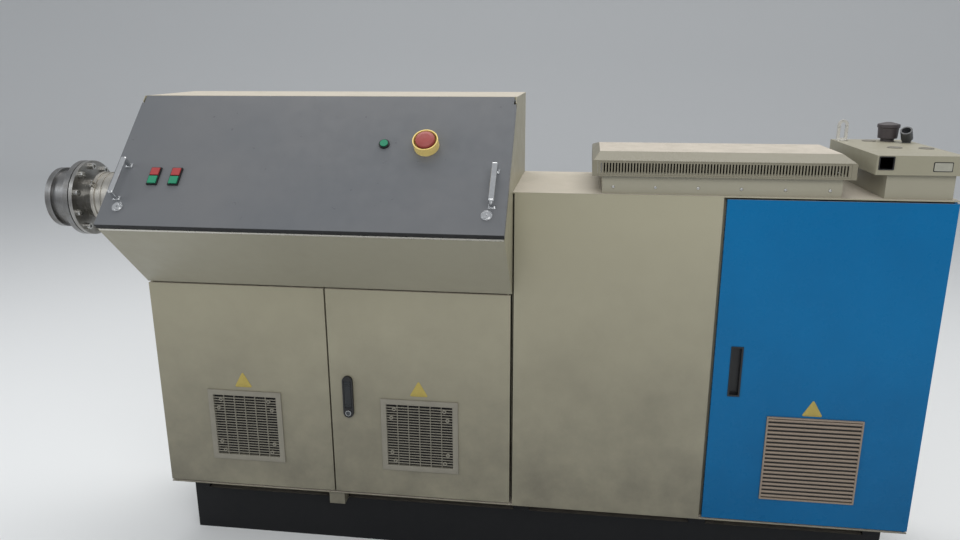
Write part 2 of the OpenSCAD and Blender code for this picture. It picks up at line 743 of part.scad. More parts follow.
filter_wall = 8;
filter_hole = filter_field + 2 * filter_wall;
a_x1 = x_seam - run_gap / 2;
b_x0 = x_seam + run_gap / 2;
b_x1 = x_j - joint_gap / 2;
a_mid = (x_l + a_x1) / 2;
b_mid = (b_x0 + b_x1) / 2;
d_x0 = x_d + joint_gap / 2;
d_mid = (d_x0 + x_r) / 2;
lock_x = b_x0 + lock_in;
grip_x = d_x0 + grip_in;

module door_a() color(BEIGE) leaf(x_l, a_x1, door_z0, door_z1, sheet, pin_a, a_mid, filter_hole);

module door_b() color(BEIGE) leaf(b_x0, b_x1, door_z0, door_z1, sheet, pin_b, b_mid, filter_hole)
    rod_y(y_f - cut, y_f + sheet + cut, lock_x, lock_z, lock_w / 2 - lock_rim);

louvre_edge = 15;
louvre_hole = louvre_w - 2 * louvre_edge;
module drive_door() color(BLUE) leaf(d_x0, x_r, door_z0, drive_z1, plate, pin_d, d_mid, louvre_hole)
    block([grip_x - grip_w / 2, y_f - cut, grip_z - grip_l / 2],
        [grip_x + grip_w / 2, y_f + sheet + cut, grip_z + grip_l / 2]);

bezel_t = 5;
collar_l = leaf_t - 2;

// Square frame on a leaf's face round a collar that fills the leaf's cut-out, open inside the field
module vent_frame(mid, side, hole, field) difference() {
    union() {
        block([mid - side / 2, y_f - bezel_t, vent_z - side / 2], [mid + side / 2, y_f, vent_z + side / 2]);
        block([mid - hole / 2 + fit, y_f - cut, vent_z - hole / 2 + fit],
            [mid + hole / 2 - fit, y_f + collar_l, vent_z + hole / 2 - fit]);
    }
    block([mid - field / 2, y_f - bezel_t - cut, vent_z - field / 2],
        [mid + field / 2, y_f + leaf_t, vent_z + field / 2]);
}

rib_w = 3;
bar_h = 3.4;
bar_in = 1;
bar_t = 3;
row_pitch = filter_field / filter_rows;

// Grille: slats that shed water, crossed by upright ribs
module filter(mid) {
    vent_frame(mid, filter_w, filter_hole, filter_field);
    for (i = [0:filter_rows]) along_x(mid - filter_field / 2 - cut, mid + filter_field / 2 + cut)
        translate([y_f - bezel_t + bar_in, vent_z - filter_field / 2 + i * row_pitch])
            polygon([[0, -bar_h / 2], [bar_t, -bar_h / 4], [bar_t, bar_h / 2], [0, bar_h / 4]]);
    for (i = [1:filter_cols - 1]) let (x = mid - filter_field / 2 + i * filter_field / filter_cols)
        block([x - rib_w / 2, y_f - bezel_t + bar_in / 2, vent_z - filter_field / 2 - cut],
            [x + rib_w / 2, y_f - bezel_t + bar_in + 2 * bar_t, vent_z + filter_field / 2 + cut]);
}

module filter_a() color([0.72, 0.72, 0.68]) filter(a_mid);
module filter_b() color([0.72, 0.72, 0.68]) filter(b_mid);

louvre_field = louvre_hole - 6;
blade_pitch = louvre_field / louvre_count;
blade_t = 1.5;
blade_back = 10;

module louvre() color([0.55, 0.53, 0.50]) {
    vent_frame(d_mid, louvre_w, louvre_hole, louvre_field);
    for (i = [0:louvre_count - 1]) along_x(d_mid - louvre_field / 2 - cut, d_mid + louvre_field / 2 + cut)
        translate([y_f - bezel_t, vent_z - louvre_field / 2 + i * blade_pitch])
            polygon([[0.5, 0.6], [0.5 + blade_t, 0.6], [blade_back, blade_pitch - 2],
                [blade_back - blade_t, blade_pitch - 2]]);
}

// Long lock with round ends, a sunk lever and its key barrel
lock_h = 9;
lock_rim = 5;
lever_sink = 3;
lock_lo = lock_z - lock_l / 2 + lock_w / 2;
lock_hi = lock_z + lock_l / 2 - lock_w / 2;
module plane_lock() color(BLACK) {
    difference() {
        union() {
            block([lock_x - lock_w / 2, y_f - lock_h, lock_lo], [lock_x + lock_w / 2, y_f, lock_hi]);
            for (z = [lock_lo, lock_hi]) rod_y(y_f - lock_h, y_f, lock_x, z, lock_w / 2);
        }
        block([lock_x - lock_w / 2 + lock_rim, y_f - lock_h - cut, lock_lo + lock_w / 2],
            [lock_x + lock_w / 2 - lock_rim, y_f - lock_h + lever_sink, lock_hi]);
    }
    rod_y(y_f - lock_h - 2, y_f - lock_h + cut, lock_x, lock_lo, lock_w / 2 - lock_rim - 2);
    rod_y(y_f - cut, y_f + leaf_t - lever_sink, lock_x, lock_z, lock_w / 2 - lock_rim - fit);
}

// Black pull with a deep finger pocket, clipped into the blue leaf
grip_rim = 3;
grip_face = 2;
grip_wall = 2;
module grip() color(BLACK) difference() {
    union() {
        block([grip_x - grip_w / 2 - grip_rim, y_f - grip_face, grip_z - grip_l / 2 - grip_rim],
            [grip_x + grip_w / 2 + grip_rim, y_f, grip_z + grip_l / 2 + grip_rim]);
        block([grip_x - grip_w / 2 + fit, y_f - cut, grip_z - grip_l / 2 + fit],
            [grip_x + grip_w / 2 - fit, y_f + leaf_t - cut, grip_z + grip_l / 2 - fit]);
    }
    block([grip_x - grip_w / 2 + grip_wall, y_f - grip_face - cut, grip_z - grip_l / 2 + grip_wall],
        [grip_x + grip_w / 2 - grip_wall, y_f + leaf_t - cut - plate, grip_z + grip_l / 2 - grip_wall]);
}

// Cover and its controls, drawn flat on the slope: X along, Y up the slope, Z out of it

notch_x = sheet + run_gap;
notch_s = slope_l - ear_l - run_gap;
stop_hole_r = 11;
bezel_rim = 3;
cap_play = 0.5;
cap_w = twin_w - 2 * bezel_rim;
cap_step = (twin_l - bezel_rim + cap_play) / 2;
cap_l = cap_step - bezel_rim - 2 * cap_play;
turn_hole_r = turn_r - 5;
function twin_at(i) = x_l + twin_x + i * twin_step;

module cover() color(DARK) on_slope() {
    difference() {
        block([x_l, 0, -leaf_t], [x_j, slope_l, 0]);
        block([x_l + sheet, sheet, -leaf_t - cut], [x_j - sheet, slope_l - leaf_t, -sheet]);
        for (x = [x_l - cut, x_j - notch_x])
            block([x, notch_s, -leaf_t - cut], [x + notch_x + cut, slope_l + cut, cut]);
        translate([x_l + stop_x, stop_s, -leaf_t]) cylinder(h = 2 * leaf_t, r = stop_hole_r);
        translate([x_l + round_x, round_s, -leaf_t]) cylinder(h = 2 * leaf_t, r = stop_hole_r + cap_play);
        for (i = [0, 1])
            block([twin_at(i) - cap_w / 2 - cut, twin_s - cap_step / 2 - cap_l / 2 - cut, -leaf_t],
                [twin_at(i) + cap_w / 2 + cut, twin_s + cap_step / 2 + cap_l / 2 + cut, cut]);
        for (x = [x_l + turn_in, x_j - turn_in])
            translate([x, turn_s, -leaf_t]) cylinder(h = 2 * leaf_t, r = turn_hole_r);
    }
    for (x = [x_l, x_j - notch_x - cut]) translate([x, cover_pin, -hinge_in]) rotate([0, 90, 0])
        cylinder(h = notch_x + cut, r = pin_r);
}

// Flat bar with round edges, bent at both ends into its feet
bow_edge = bow_w / 2 - bow_r;
module bow_end() {
    for (dx = [-bow_edge, bow_edge]) translate([dx, 0, 0]) {
        cylinder(h = bow_h, r = bow_r);
        translate([0, 0, bow_h]) sphere(r = bow_r);
    }
    block([-bow_edge, -bow_r, 0], [bow_edge, bow_r, bow_h]);
    translate([-bow_edge, 0, bow_h]) rotate([0, 90, 0]) cylinder(h = 2 * bow_edge, r = bow_r);
    block([-bow_w / 2 - bow_r / 2, -1.5 * bow_r, 0], [bow_w / 2 + bow_r / 2, 1.5 * bow_r, bow_r / 2]);
}

module bow_handle() {
    for (dx = [-bow_edge, bow_edge]) translate([dx, 0, bow_h]) rotate([-90, 0, 0])
        cylinder(h = bow_l, r = bow_r);
    block([-bow_edge, 0, bow_h - bow_r], [bow_edge, bow_l, bow_h + bow_r]);
    for (s = [0, bow_l]) translate([0, s, 0]) bow_end();
}

module bow_handles() color(STEEL) on_slope() for (x = [x_l + bow_in, x_j - bow_in])
    translate([x, bow_s, 0]) bow_handle();

turn_h = 3;
module turn_lock() difference() {
    union() {
        cylinder(h = turn_h, r = turn_r);
        cylinder(h = turn_h + 2, r = turn_r - 4);
        translate([0, 0, 2 - leaf_t]) cylinder(h = leaf_t, r = turn_hole_r - fit);
    }
    translate([0, 0, cut]) cylinder(h = 2 * turn_h, r = turn_r / 3, $fn = 3);
}

module turn_locks() color(STEEL) on_slope() for (x = [x_l + turn_in, x_j - turn_in])
    translate([x, turn_s, 0]) turn_lock();

collar_h = 28;
collar_base = 4;
collar_wall = 3;
stem_r = 8;
module stop_collar() color([0.9, 0.75, 0.1]) on_slope() translate([x_l + stop_x, stop_s, 0]) difference() {
    cylinder(h = collar_h, r = stop_collar_r);
    translate([0, 0, collar_base]) cylinder(h = collar_h, r = stop_collar_r - collar_wall);
    translate([0, 0, -cut]) cylinder(h = collar_h, r = stem_r + cap_play);
}

// Mushroom head: a chamfered disc on its stem, with the stop's travel left under it
stop_z0 = collar_base + 11;
head_side = [[0, 0], [0.75, 0], [1, 6], [1, 13], [0.93, 17], [0.6, 20], [0, 21]];
module stop_knob() color([0.8, 0.1, 0.1]) on_slope() translate([x_l + stop_x, stop_s, 0]) {
    translate([0, 0, 4 - leaf_t]) cylinder(h = stop_z0 + leaf_t, r = stem_r);
    translate([0, 0, stop_z0]) rotate_extrude() polygon([for (p = head_side) [p[0] * stop_r, p[1]]]);
}

bezel_h = 5;
module button_bezels() color(BLACK) on_slope() {
    translate([x_l + round_x, round_s, 0]) difference() {
        cylinder(h = bezel_h, r = stop_hole_r + 4);
        translate([0, 0, -cut]) cylinder(h = bezel_h + 2 * cut, r = stop_hole_r + cap_play);
    }
    for (i = [0, 1]) difference() {
        block([twin_at(i) - twin_w / 2, twin_s - twin_l / 2, 0],
            [twin_at(i) + twin_w / 2, twin_s + twin_l / 2, bezel_h]);
        for (d = [-cap_step / 2, cap_step / 2])
            block([twin_at(i) - cap_w / 2 - cap_play, twin_s + d - cap_l / 2 - cap_play, -cut],
                [twin_at(i) + cap_w / 2 + cap_play, twin_s + d + cap_l / 2 + cap_play, bezel_h + cut]);
    }
}

// A cap's foot stays over its travel above the leaf's open back, and its face stands proud of the bezel
cap_foot = 8 - leaf_t;
cap_proud = 3;
module round_button() color([0.1, 0.6, 0.3]) on_slope() translate([x_l + round_x, round_s, cap_foot])
    cylinder(h = bezel_h + cap_proud - cap_foot, r = stop_hole_r);

module cap(i, d) on_slope() block([twin_at(i) - cap_w / 2, twin_s + d - cap_l / 2, cap_foot],
    [twin_at(i) + cap_w / 2, twin_s + d + cap_l / 2, bezel_h + cap_proud]);

module red_cap_1() color([0.8, 0.1, 0.1]) cap(0, cap_step / 2);
module green_cap_1() color([0.1, 0.6, 0.3]) cap(0, -cap_step / 2);
module red_cap_2() color([0.8, 0.1, 0.1]) cap(1, cap_step / 2);
module green_cap_2() color([0.1, 0.6, 0.3]) cap(1, -cap_step / 2);

front_beam();
rear_beam();
cross_members();
floor_posts();
seam_foot();
floor_pan();
left_side();
bulkhead();
frame_posts();
left_back();
bench();
nose_panel();
console_top();
mounting_plate();
fixed_panel();
right_back();
right_end();
top_panel();
barrel();
heater_bands();
adapter();
flange_screws();
barrel_saddle();
drive_bed();
gearbox();
motor();
hood_plinth();
hood();
hood_grilles();
box_body();
box_lid();
breather();
lifting_eye();
vent_stub();
door_a();
filter_a();
door_b();
filter_b();
plane_lock();
drive_door();
louvre();
grip();
cover();
bow_handles();
turn_locks();
stop_collar();
button_bezels();
stop_knob();
round_button();
red_cap_1();
green_cap_1();
red_cap_2();
green_cap_2();
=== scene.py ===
"""Plastic extruder, dressed for rendering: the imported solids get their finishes, and the small parts
that sheet-metal work and fittings have are added to them, section by section in order of assembly.
All lengths are in metres. X runs from the outlet to the drive end, Y from front to back, Z up."""
import math

import bmesh
import bpy
import numpy as np
from mathutils import Matrix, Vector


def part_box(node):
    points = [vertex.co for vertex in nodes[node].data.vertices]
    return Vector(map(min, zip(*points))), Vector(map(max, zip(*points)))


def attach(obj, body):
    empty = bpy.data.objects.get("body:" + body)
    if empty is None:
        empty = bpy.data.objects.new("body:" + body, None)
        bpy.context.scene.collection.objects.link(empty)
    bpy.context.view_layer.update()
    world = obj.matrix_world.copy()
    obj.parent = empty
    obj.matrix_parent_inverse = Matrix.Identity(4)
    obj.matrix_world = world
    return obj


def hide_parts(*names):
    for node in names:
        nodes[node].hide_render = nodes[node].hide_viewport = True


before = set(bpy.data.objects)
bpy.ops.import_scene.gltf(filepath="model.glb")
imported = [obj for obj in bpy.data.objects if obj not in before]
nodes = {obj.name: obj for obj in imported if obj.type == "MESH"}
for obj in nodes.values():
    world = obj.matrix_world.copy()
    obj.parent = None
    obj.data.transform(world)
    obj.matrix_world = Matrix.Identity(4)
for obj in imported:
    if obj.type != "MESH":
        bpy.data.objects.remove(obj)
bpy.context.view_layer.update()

# Studio. A pale floor that sweeps up into a backdrop, soft lamps overhead, at the front and at the left,
# and a camera at standing height, a little right of the console and looking down at it.
CAMERA_AT = (0.3897, -2.2113, 1.5400)
CAMERA_YAW, CAMERA_PITCH, CAMERA_ROLL = math.radians(7.818), math.radians(15.455), math.radians(-0.185)
FOCAL_PX, IMAGE_W = 776.5, 960
FLOOR_TONE = (0.74, 0.75, 0.755, 1.0)
SKY_TONE, SKY_STRENGTH = (0.93, 0.96, 1.0, 1.0), 0.5
WARM_WHITE, COOL_WHITE = (1.0, 0.99, 0.97), (0.95, 0.98, 1.0)


def grid_faces(nu, nv, wrap_u=False, wrap_v=False):
    """Quads of a grid of nu by nv points: cell (i, j) joins (i, j), (i+1, j), (i+1, j+1) and (i, j+1),
    and a wrapped way joins its last row to its first."""
    i = np.arange(nu if wrap_u else nu - 1)[:, None]
    j = np.arange(nv if wrap_v else nv - 1)[None, :]
    i2, j2 = (i + 1) % nu, (j + 1) % nv
    return np.stack([i * nv + j + 0 * j2, i2 * nv + j, i2 * nv + j2, i * nv + j2], -1).reshape(-1, 4)


def build(name, shapes, material, smooth_deg=35.0):
    """One object from a list of (points, faces): the points are stacked, doubles closer than a
    hundredth of a millimetre merged, the normals turned outwards, and edges over the angle kept sharp."""
    start, points, faces = 0, [], []
    for p, f in shapes:
        p = np.asarray(p, float).reshape(-1, 3)
        points.append(p)
        faces += [[int(k) + start for k in face] for face in f]
        start += len(p)
    mesh = bpy.data.meshes.new(name)
    mesh.from_pydata(np.vstack(points).tolist(), [], faces)
    bm = bmesh.new()
    bm.from_mesh(mesh)
    bmesh.ops.remove_doubles(bm, verts=bm.verts, dist=1e-5)
    bmesh.ops.dissolve_degenerate(bm, edges=bm.edges, dist=1e-6)
    bmesh.ops.recalc_face_normals(bm, faces=bm.faces)
    bm.to_mesh(mesh)
    bm.free()
    mesh.polygons.foreach_set("use_smooth", [True] * len(mesh.polygons))
    mesh.set_sharp_from_angle(angle=math.radians(smooth_deg))
    mesh.materials.append(material)
    piece = bpy.data.objects.new(name, mesh)
    bpy.context.scene.collection.objects.link(piece)
    return piece


def stage_material():
    """Matt pale floor that keeps the machine's shadow."""
    material = bpy.data.materials.new("studio_floor")
    material.use_nodes = True
    shader = material.node_tree.nodes["Principled BSDF"]
    shader.inputs["Base Color"].default_value = FLOOR_TONE
    shader.inputs["Roughness"].default_value = 0.85
    shader.inputs["Specular IOR Level"].default_value = 0.2
    return material


def sweep_points(half_width=40.0, front=-40.0, back=7.0, radius=2.5, height=12.0):
    """Floor from front to back, a quarter circle of the radius, then a wall. The profile is carried
    along X."""
    turn = np.linspace(0.0, math.pi / 2, 24)
    y = np.concatenate([[front], back + radius * np.sin(turn), [back + radius]])
    z = np.concatenate([[0.0], radius * (1 - np.cos(turn)), [height]])
    x = np.array([-half_width, half_width])
    return np.stack(np.broadcast_arrays(x[:, None], y[None, :], z[None, :]), -1), grid_faces(2, len(y))


floor = build("studio_floor", [sweep_points()], stage_material())

world = bpy.data.worlds.new("studio_light")
bpy.context.scene.world = world
world.use_nodes = True
world.node_tree.nodes["Background"].inputs["Color"].default_value = SKY_TONE
world.node_tree.nodes["Background"].inputs["Strength"].default_value = SKY_STRENGTH


def soft_lamp(name, place, target, size, power, tone):
    """Oblong area lamp at a place, its face turned to a target."""
    data = bpy.data.lights.new(name, "AREA")
    data.shape, data.size, data.size_y = "RECTANGLE", *size
    data.energy, data.color = power, tone
    lamp = bpy.data.objects.new(name, data)
    bpy.context.scene.collection.objects.link(lamp)
    back = np.array(place, float) - np.array(target, float)
    back /= np.linalg.norm(back)
    right = np.cross([0.0, 1.0, 0.0] if abs(back[2]) > 0.9 else [0.0, 0.0, 1.0], back)
    right /= np.linalg.norm(right)
    turn = np.column_stack([right, np.cross(back, right), back])
    lamp.matrix_world = Matrix.Translation(place) @ Matrix(turn.tolist()).to_4x4()


soft_lamp("lamp_over", (0.2, 1.7, 4.8), (0.0, 0.0, 0.8), (6.0, 2.6), 150.0, WARM_WHITE)
soft_lamp("lamp_front", (1.0, -3.9, 3.8), (0.1, 0.0, 0.9), (4.5, 2.6), 100.0, WARM_WHITE)
soft_lamp("lamp_left", (-4.2, -1.6, 2.6), (-0.9, 0.0, 1.0), (2.0, 2.0), 38.0, COOL_WHITE)

forward = np.array([-math.sin(CAMERA_YAW) * math.cos(CAMERA_PITCH),
                    math.cos(CAMERA_YAW) * math.cos(CAMERA_PITCH), -math.sin(CAMERA_PITCH)])
level = np.array([math.cos(CAMERA_YAW), math.sin(CAMERA_YAW), 0.0])
upward = np.cross(level, forward)
right = math.cos(CAMERA_ROLL) * level + math.sin(CAMERA_ROLL) * upward
upward = -math.sin(CAMERA_ROLL) * level + math.cos(CAMERA_ROLL) * upward
view = bpy.data.cameras.new("camera")
view.sensor_width = 36.0
view.lens = 36.0 * FOCAL_PX / IMAGE_W
camera = bpy.data.objects.new("camera", view)
camera.matrix_world = (Matrix.Translation(CAMERA_AT)
                       @ Matrix(np.column_stack([right, upward, -forward]).tolist()).to_4x4())
bpy.context.scene.collection.objects.link(camera)
bpy.context.scene.camera = camera
bpy.context.scene.view_settings.view_transform = "Standard"


# Base. Two black channels with cross members stand on the floor, and short square posts carry the
# pan above them. Oven-dried black paint, dusty low down and along the top flange.
class Finish:
    """A Principled material that grows node by node. Every pattern reads Object coordinates, which are
    in metres."""

    def __init__(self, name, rough, metallic=0.0):
        self.material = bpy.data.materials.new(name)
        self.material.use_nodes = True
        self.tree = self.material.node_tree
        self.shader = self.tree.nodes["Principled BSDF"]
        self.shader.inputs["Roughness"].default_value = rough
        self.shader.inputs["Metallic"].default_value = metallic
        self.where = self.tree.nodes.new("ShaderNodeTexCoord").outputs["Object"]
        self.normal = None

    def node(self, kind, inputs=(), **settings):
        """A node of a kind, with its settings, its numbers and its links."""
        made = self.tree.nodes.new("ShaderNode" + kind)
        for key, value in settings.items():
            setattr(made, key, value)
        for key, value in dict(inputs).items():
            if isinstance(value, bpy.types.NodeSocket):
                self.tree.links.new(value, made.inputs[key])
            else:
                made.inputs[key].default_value = value
        return made

    def place(self, scale=(1, 1, 1), centre=(0, 0, 0)):
        """The position, moved so that the centre is zero, then stretched by the scale."""
        moved = self.node("VectorMath", {0: self.where, 1: centre}, operation="SUBTRACT").outputs[0]
        return self.node("Mapping", {"Vector": moved, "Scale": scale}, vector_type="POINT").outputs[0]

    def noise(self, size, detail=3.0, rough=0.55, at=None):
        """Cloudy pattern, 0 to 1, whose lumps are about the size across."""
        return self.node("TexNoise", {"Vector": at or self.where, "Scale": 1.0 / size, "Detail": detail,
                                      "Roughness": rough}).outputs["Fac"]

    def ramp(self, value, low, high, to_low=0.0, to_high=1.0):
        """The value carried from low..high to another span, and held at the ends."""
        return self.node("MapRange", {"Value": value, "From Min": low, "From Max": high, "To Min": to_low,
                                      "To Max": to_high}).outputs["Result"]

    def times(self, a, b):
        return self.node("Math", {0: a, 1: b}, operation="MULTIPLY").outputs[0]

    def plus(self, a, b):
        return self.node("Math", {0: a, 1: b}, operation="ADD").outputs[0]

    def power(self, a, b):
        return self.node("Math", {0: a, 1: b}, operation="POWER").outputs[0]

    def mix(self, share, a, b):
        """Colour a where the share is 0 and colour b where it is 1."""
        made = self.node("Mix", {"Factor": share, "A": a, "B": b}, data_type="RGBA")
        return made.outputs["Result"]

    def colour(self, socket):
        self.tree.links.new(socket, self.shader.inputs["Base Color"])

    def rough(self, socket):
        self.tree.links.new(socket, self.shader.inputs["Roughness"])

    def bump(self, height, metres):
        """Relief of the given depth, laid over any relief before it."""
        inputs = {"Height": height, "Distance": metres, "Strength": 1.0}
        if self.normal is not None:
            inputs["Normal"] = self.normal
        self.normal = self.node("Bump", inputs).outputs["Normal"]
        self.tree.links.new(self.normal, self.shader.inputs["Normal"])

    def soft_edges(self, radius):
        """Folded and cut edges catch light as if rounded to the radius."""
        self.normal = self.node("Bevel", {"Radius": radius}, samples=4).outputs["Normal"]
        self.tree.links.new(self.normal, self.shader.inputs["Normal"])


def rgb(r, g, b):
    """A colour read as screen values 0 to 255, as the linear values that a shader takes."""
    c = np.array([r, g, b]) / 255.0
    return tuple(np.where(c <= 0.04045, c / 12.92, ((c + 0.055) / 1.055) ** 2.4)) + (1.0,)


# Colour of the pale dust on level faces, which also paints the light on the tops; scuffs lighten towards it
# too
TOP_DUST_AND_LIGHT = rgb(196, 187, 174)
SCUFFS, ORANGE_PEEL, SHEET_WAVES = 0.2, 0.00004, 0.0006


def paint(name, tone, shade, low_grime_and_shade, rough=0.42, low_grime_and_shade_top=1.1, low_grime_and_shade_share=0.3, top_dust_and_light_share=0.55, sheen=0.5):
    """Sprayed sheet metal. The tone drifts to the shade in broad clouds, and from its top height down to
    the floor it goes over to the low colour, which is floor grime and painted shade of the lower sheets
    together. Pale dust lies on level faces and also paints the light that falls on the tops, fine scuffs
    dull the gloss, and the coat has orange peel over the sheet's slight waves."""
    f = Finish(name, rough)
    f.shader.inputs["Specular IOR Level"].default_value = sheen
    f.soft_edges(0.0012)
    body = f.mix(f.ramp(f.noise(0.55, 4.0), 0.35, 0.7), tone, shade)
    height = f.node("SeparateXYZ", {0: f.where}).outputs["Z"]
    patchy = f.ramp(f.noise(0.16, 7.0, 0.65), 0.3, 0.75, 0.7, 1.3)
    # Share of the low colour, growing towards the floor: floor grime together with painted shade of the
    # lower sheets
    low = f.times(f.ramp(height, 0.12, low_grime_and_shade_top, low_grime_and_shade_share, 0.0), patchy)
    # Pale colour on level faces: dust together with painted light on the tops
    up = f.node("SeparateXYZ", {0: f.node("NewGeometry").outputs["Normal"]}).outputs["Z"]
    dusty = f.ramp(f.noise(0.05, 7.0, 0.65), 0.3, 0.8, 0.7 * top_dust_and_light_share, 1.2 * top_dust_and_light_share)
    level_dust_and_light = f.times(f.ramp(up, 0.975, 0.998), dusty)
    streak = f.ramp(f.noise(0.004, 5.0, 0.8, f.place((1.0, 1.0, 0.06))), 0.66, 0.78)
    scratch = f.times(streak, f.times(f.ramp(f.noise(0.3, 2.0), 0.5, 0.62), SCUFFS))
    worn = f.mix(f.times(scratch, 0.35), f.mix(low, body, low_grime_and_shade), TOP_DUST_AND_LIGHT)
    f.colour(f.mix(level_dust_and_light, worn, TOP_DUST_AND_LIGHT))
    gloss = f.ramp(f.noise(0.035, 6.0, 0.6), 0.3, 0.75, rough - 0.07, rough + 0.09)
    f.rough(f.plus(f.plus(gloss, f.times(level_dust_and_light, 0.35)), f.times(scratch, 0.12)))
    f.bump(f.noise(0.0016, 1.0), ORANGE_PEEL)
    f.bump(f.noise(0.35, 1.0), SHEET_WAVES)
    return f.material


def dress(names, material):
    """The material in every slot of the named CAD nodes."""
    for name in names:
        mesh = nodes[name].data
        mesh.materials.clear()
        mesh.materials.append(material)


black_paint = paint("black_base_paint", rgb(11, 13, 17), rgb(15, 17, 20), rgb(36, 36, 36), rough=0.5,
                    low_grime_and_shade_top=0.3, top_dust_and_light_share=0.25, sheen=0.2)
dress(["front_beam", "rear_beam", "cross_members", "floor_posts"], black_paint)

# Cabinet. Folded sheet in a putty-coloured powder coat: pan, sides, tops and the fixed front. The sheets
# under the nose, at the back and round the neck take a darker, greyer copy of the same coat, which is
# painted shade.
# Much darker towards the floor: painted shade of the lower sheets, with floor grime. Level tops are paled
# by dust and painted light.
cream = paint("cream_coat", rgb(162, 157, 135), rgb(155, 150, 128), rgb(100, 96, 83), low_grime_and_shade_share=0.9,
              top_dust_and_light_share=0.75)
# A darker, greyer copy of the cream coat, which is painted shade
shaded_cream = paint("cream_coat_shaded", rgb(154, 150, 133), rgb(147, 143, 126), rgb(106, 102, 90))
dress(["seam_foot", "floor_pan", "left_side", "bulkhead", "frame_posts", "console_top", "fixed_panel",
       "right_end", "top_panel"], cream)
dress(["nose_panel", "bench", "left_back", "right_back"], shaded_cream)

# Panel screws. Bright zinc-plated button heads with a hexagon socket, in a row round the edges of both
# backs and of the drive end, which they hold to the frame.
FRONT = np.array([(1.0, 0, 0), (0, 0, 1.0), (0, -1.0, 0)])
BACK = np.array([(-1.0, 0, 0), (0, 0, 1.0), (0, 1.0, 0)])
DRIVE_END = np.array([(0, 1.0, 0), (0, 0, 1.0), (1.0, 0, 0)])
SCREW_R, SCREW_H = 0.0055, 0.003
SCREW_IN, SCREW_STEP = 0.016, 0.26


def turned(profile, seats, face, sides=24):
    """One turned solid at each seat: the radius and height of each row of the profile, carried round
    the way that the face looks. A row with a 1 in third place is a hexagon, that wide at its corners."""
    radius, height, hexagon = np.array([tuple(row) + (0,) * (3 - len(row)) for row in profile], float).T
    turn = np.arange(sides)[:, None] * 2 * math.pi / sides
    six = math.cos(math.pi / 6) / np.cos(np.mod(turn, math.pi / 3) - math.pi / 6)
    ring = radius * np.where(hexagon > 0, six, 1.0)
    flat = np.stack([np.cos(turn) * ring, np.sin(turn) * ring, np.broadcast_to(height, ring.shape)], -1)
    faces = grid_faces(sides, len(radius), wrap_u=True)
    return [(flat @ face + np.asarray(seat), faces) for seat in seats]


def button_head(radius, height, root=0.0005):
    """Profile of a round-edged screw head with a hexagon socket, its root sunk below the seat."""
    return [(0, -root), (radius, -root), (radius, 0.4 * height), (0.93 * radius, 0.7 * height),
            (0.72 * radius, 0.95 * height), (0.56 * radius, height), (0.5 * radius, height, 1),
            (0.5 * radius, 0.4 * height, 1), (0, 0.35 * height)]


def seats_round(node, face):
    """Seats inside the four edges of an upright panel, evenly spaced, on the side that the face looks."""
    low, high = np.array(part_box(node))
    level = np.abs(face[0])
    plane = np.where(face[2] > 0, high, low) * np.abs(face[2])
    u0, u1 = low @ level + SCREW_IN, high @ level - SCREW_IN
    v0, v1 = low[2] + SCREW_IN, high[2] - SCREW_IN
    us = np.linspace(u0, u1, math.ceil((u1 - u0) / SCREW_STEP) + 1)
    vs = np.linspace(v0, v1, math.ceil((v1 - v0) / SCREW_STEP) + 1)
    uv = [(u, v) for u in us for v in (v0, v1)] + [(u, v) for v in vs[1:-1] for u in (u0, u1)]
    return [plane + u * level + v * np.array([0, 0, 1.0]) for u, v in uv]


def steel_fitting(name, tone, rough, worn=0.3, metallic=1.0):
    """Small metal fitting: an even plated tone with a worn cast where hands and tools reach it."""
    f = Finish(name, rough, metallic)
    f.soft_edges(0.0006)
    wear = f.ramp(f.noise(0.006, 5.0, 0.7), 0.45, 0.7)
    lighter = tuple(min(1.0, c * 1.7 + 0.04) for c in tone[:3]) + (1.0,)
    f.colour(f.mix(f.times(wear, worn), tone, lighter))
    f.rough(f.ramp(f.noise(0.01, 4.0), 0.3, 0.7, max(0.05, rough - 0.08), rough + 0.1))
    f.bump(f.noise(0.0008, 2.0), 0.00002)
    return f.material


def fitted(piece, body):
    """The piece rides on its body."""
    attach(piece, body)


bright_zinc = steel_fitting("bright_zinc", rgb(190, 190, 188), 0.28)
for node, face in [("left_back", BACK), ("right_back", BACK), ("right_end", DRIVE_END)]:
    heads = turned(button_head(SCREW_R, SCREW_H), seats_round(node, face), face)
    fitted(build(node + "_screws", heads, bright_zinc), "frame")

# Mounting plate. Galvanised sheet that stands behind the two doors for the electrical gear. Hot zinc
# leaves a fine spangle on it.
SPANGLES_PER_M = 90.0
zinc = Finish("zinc_plate", 0.38, 0.9)
cell = zinc.node("TexVoronoi", {"Vector": zinc.where, "Scale": SPANGLES_PER_M})
spangle = zinc.ramp(cell.outputs["Distance"], 0.0, 0.9)
zinc.colour(zinc.mix(spangle, rgb(178, 180, 182), rgb(166, 169, 172)))
zinc.rough(zinc.ramp(zinc.noise(0.02, 4.0), 0.3, 0.7, 0.28, 0.48))
dress(["mounting_plate"], zinc.material)


# Barrel and adapter. Turned steel: fine rings run round the barrel's axis, on the cylinders by their
# place along it and on the flange faces by their radius, with a heat-darkened film and oily patches.
AXIS_Y = sum(c[1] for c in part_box("barrel")) / 2
AXIS_Z = sum(c[2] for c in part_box("barrel")) / 2
RINGS_PER_M = 1400.0


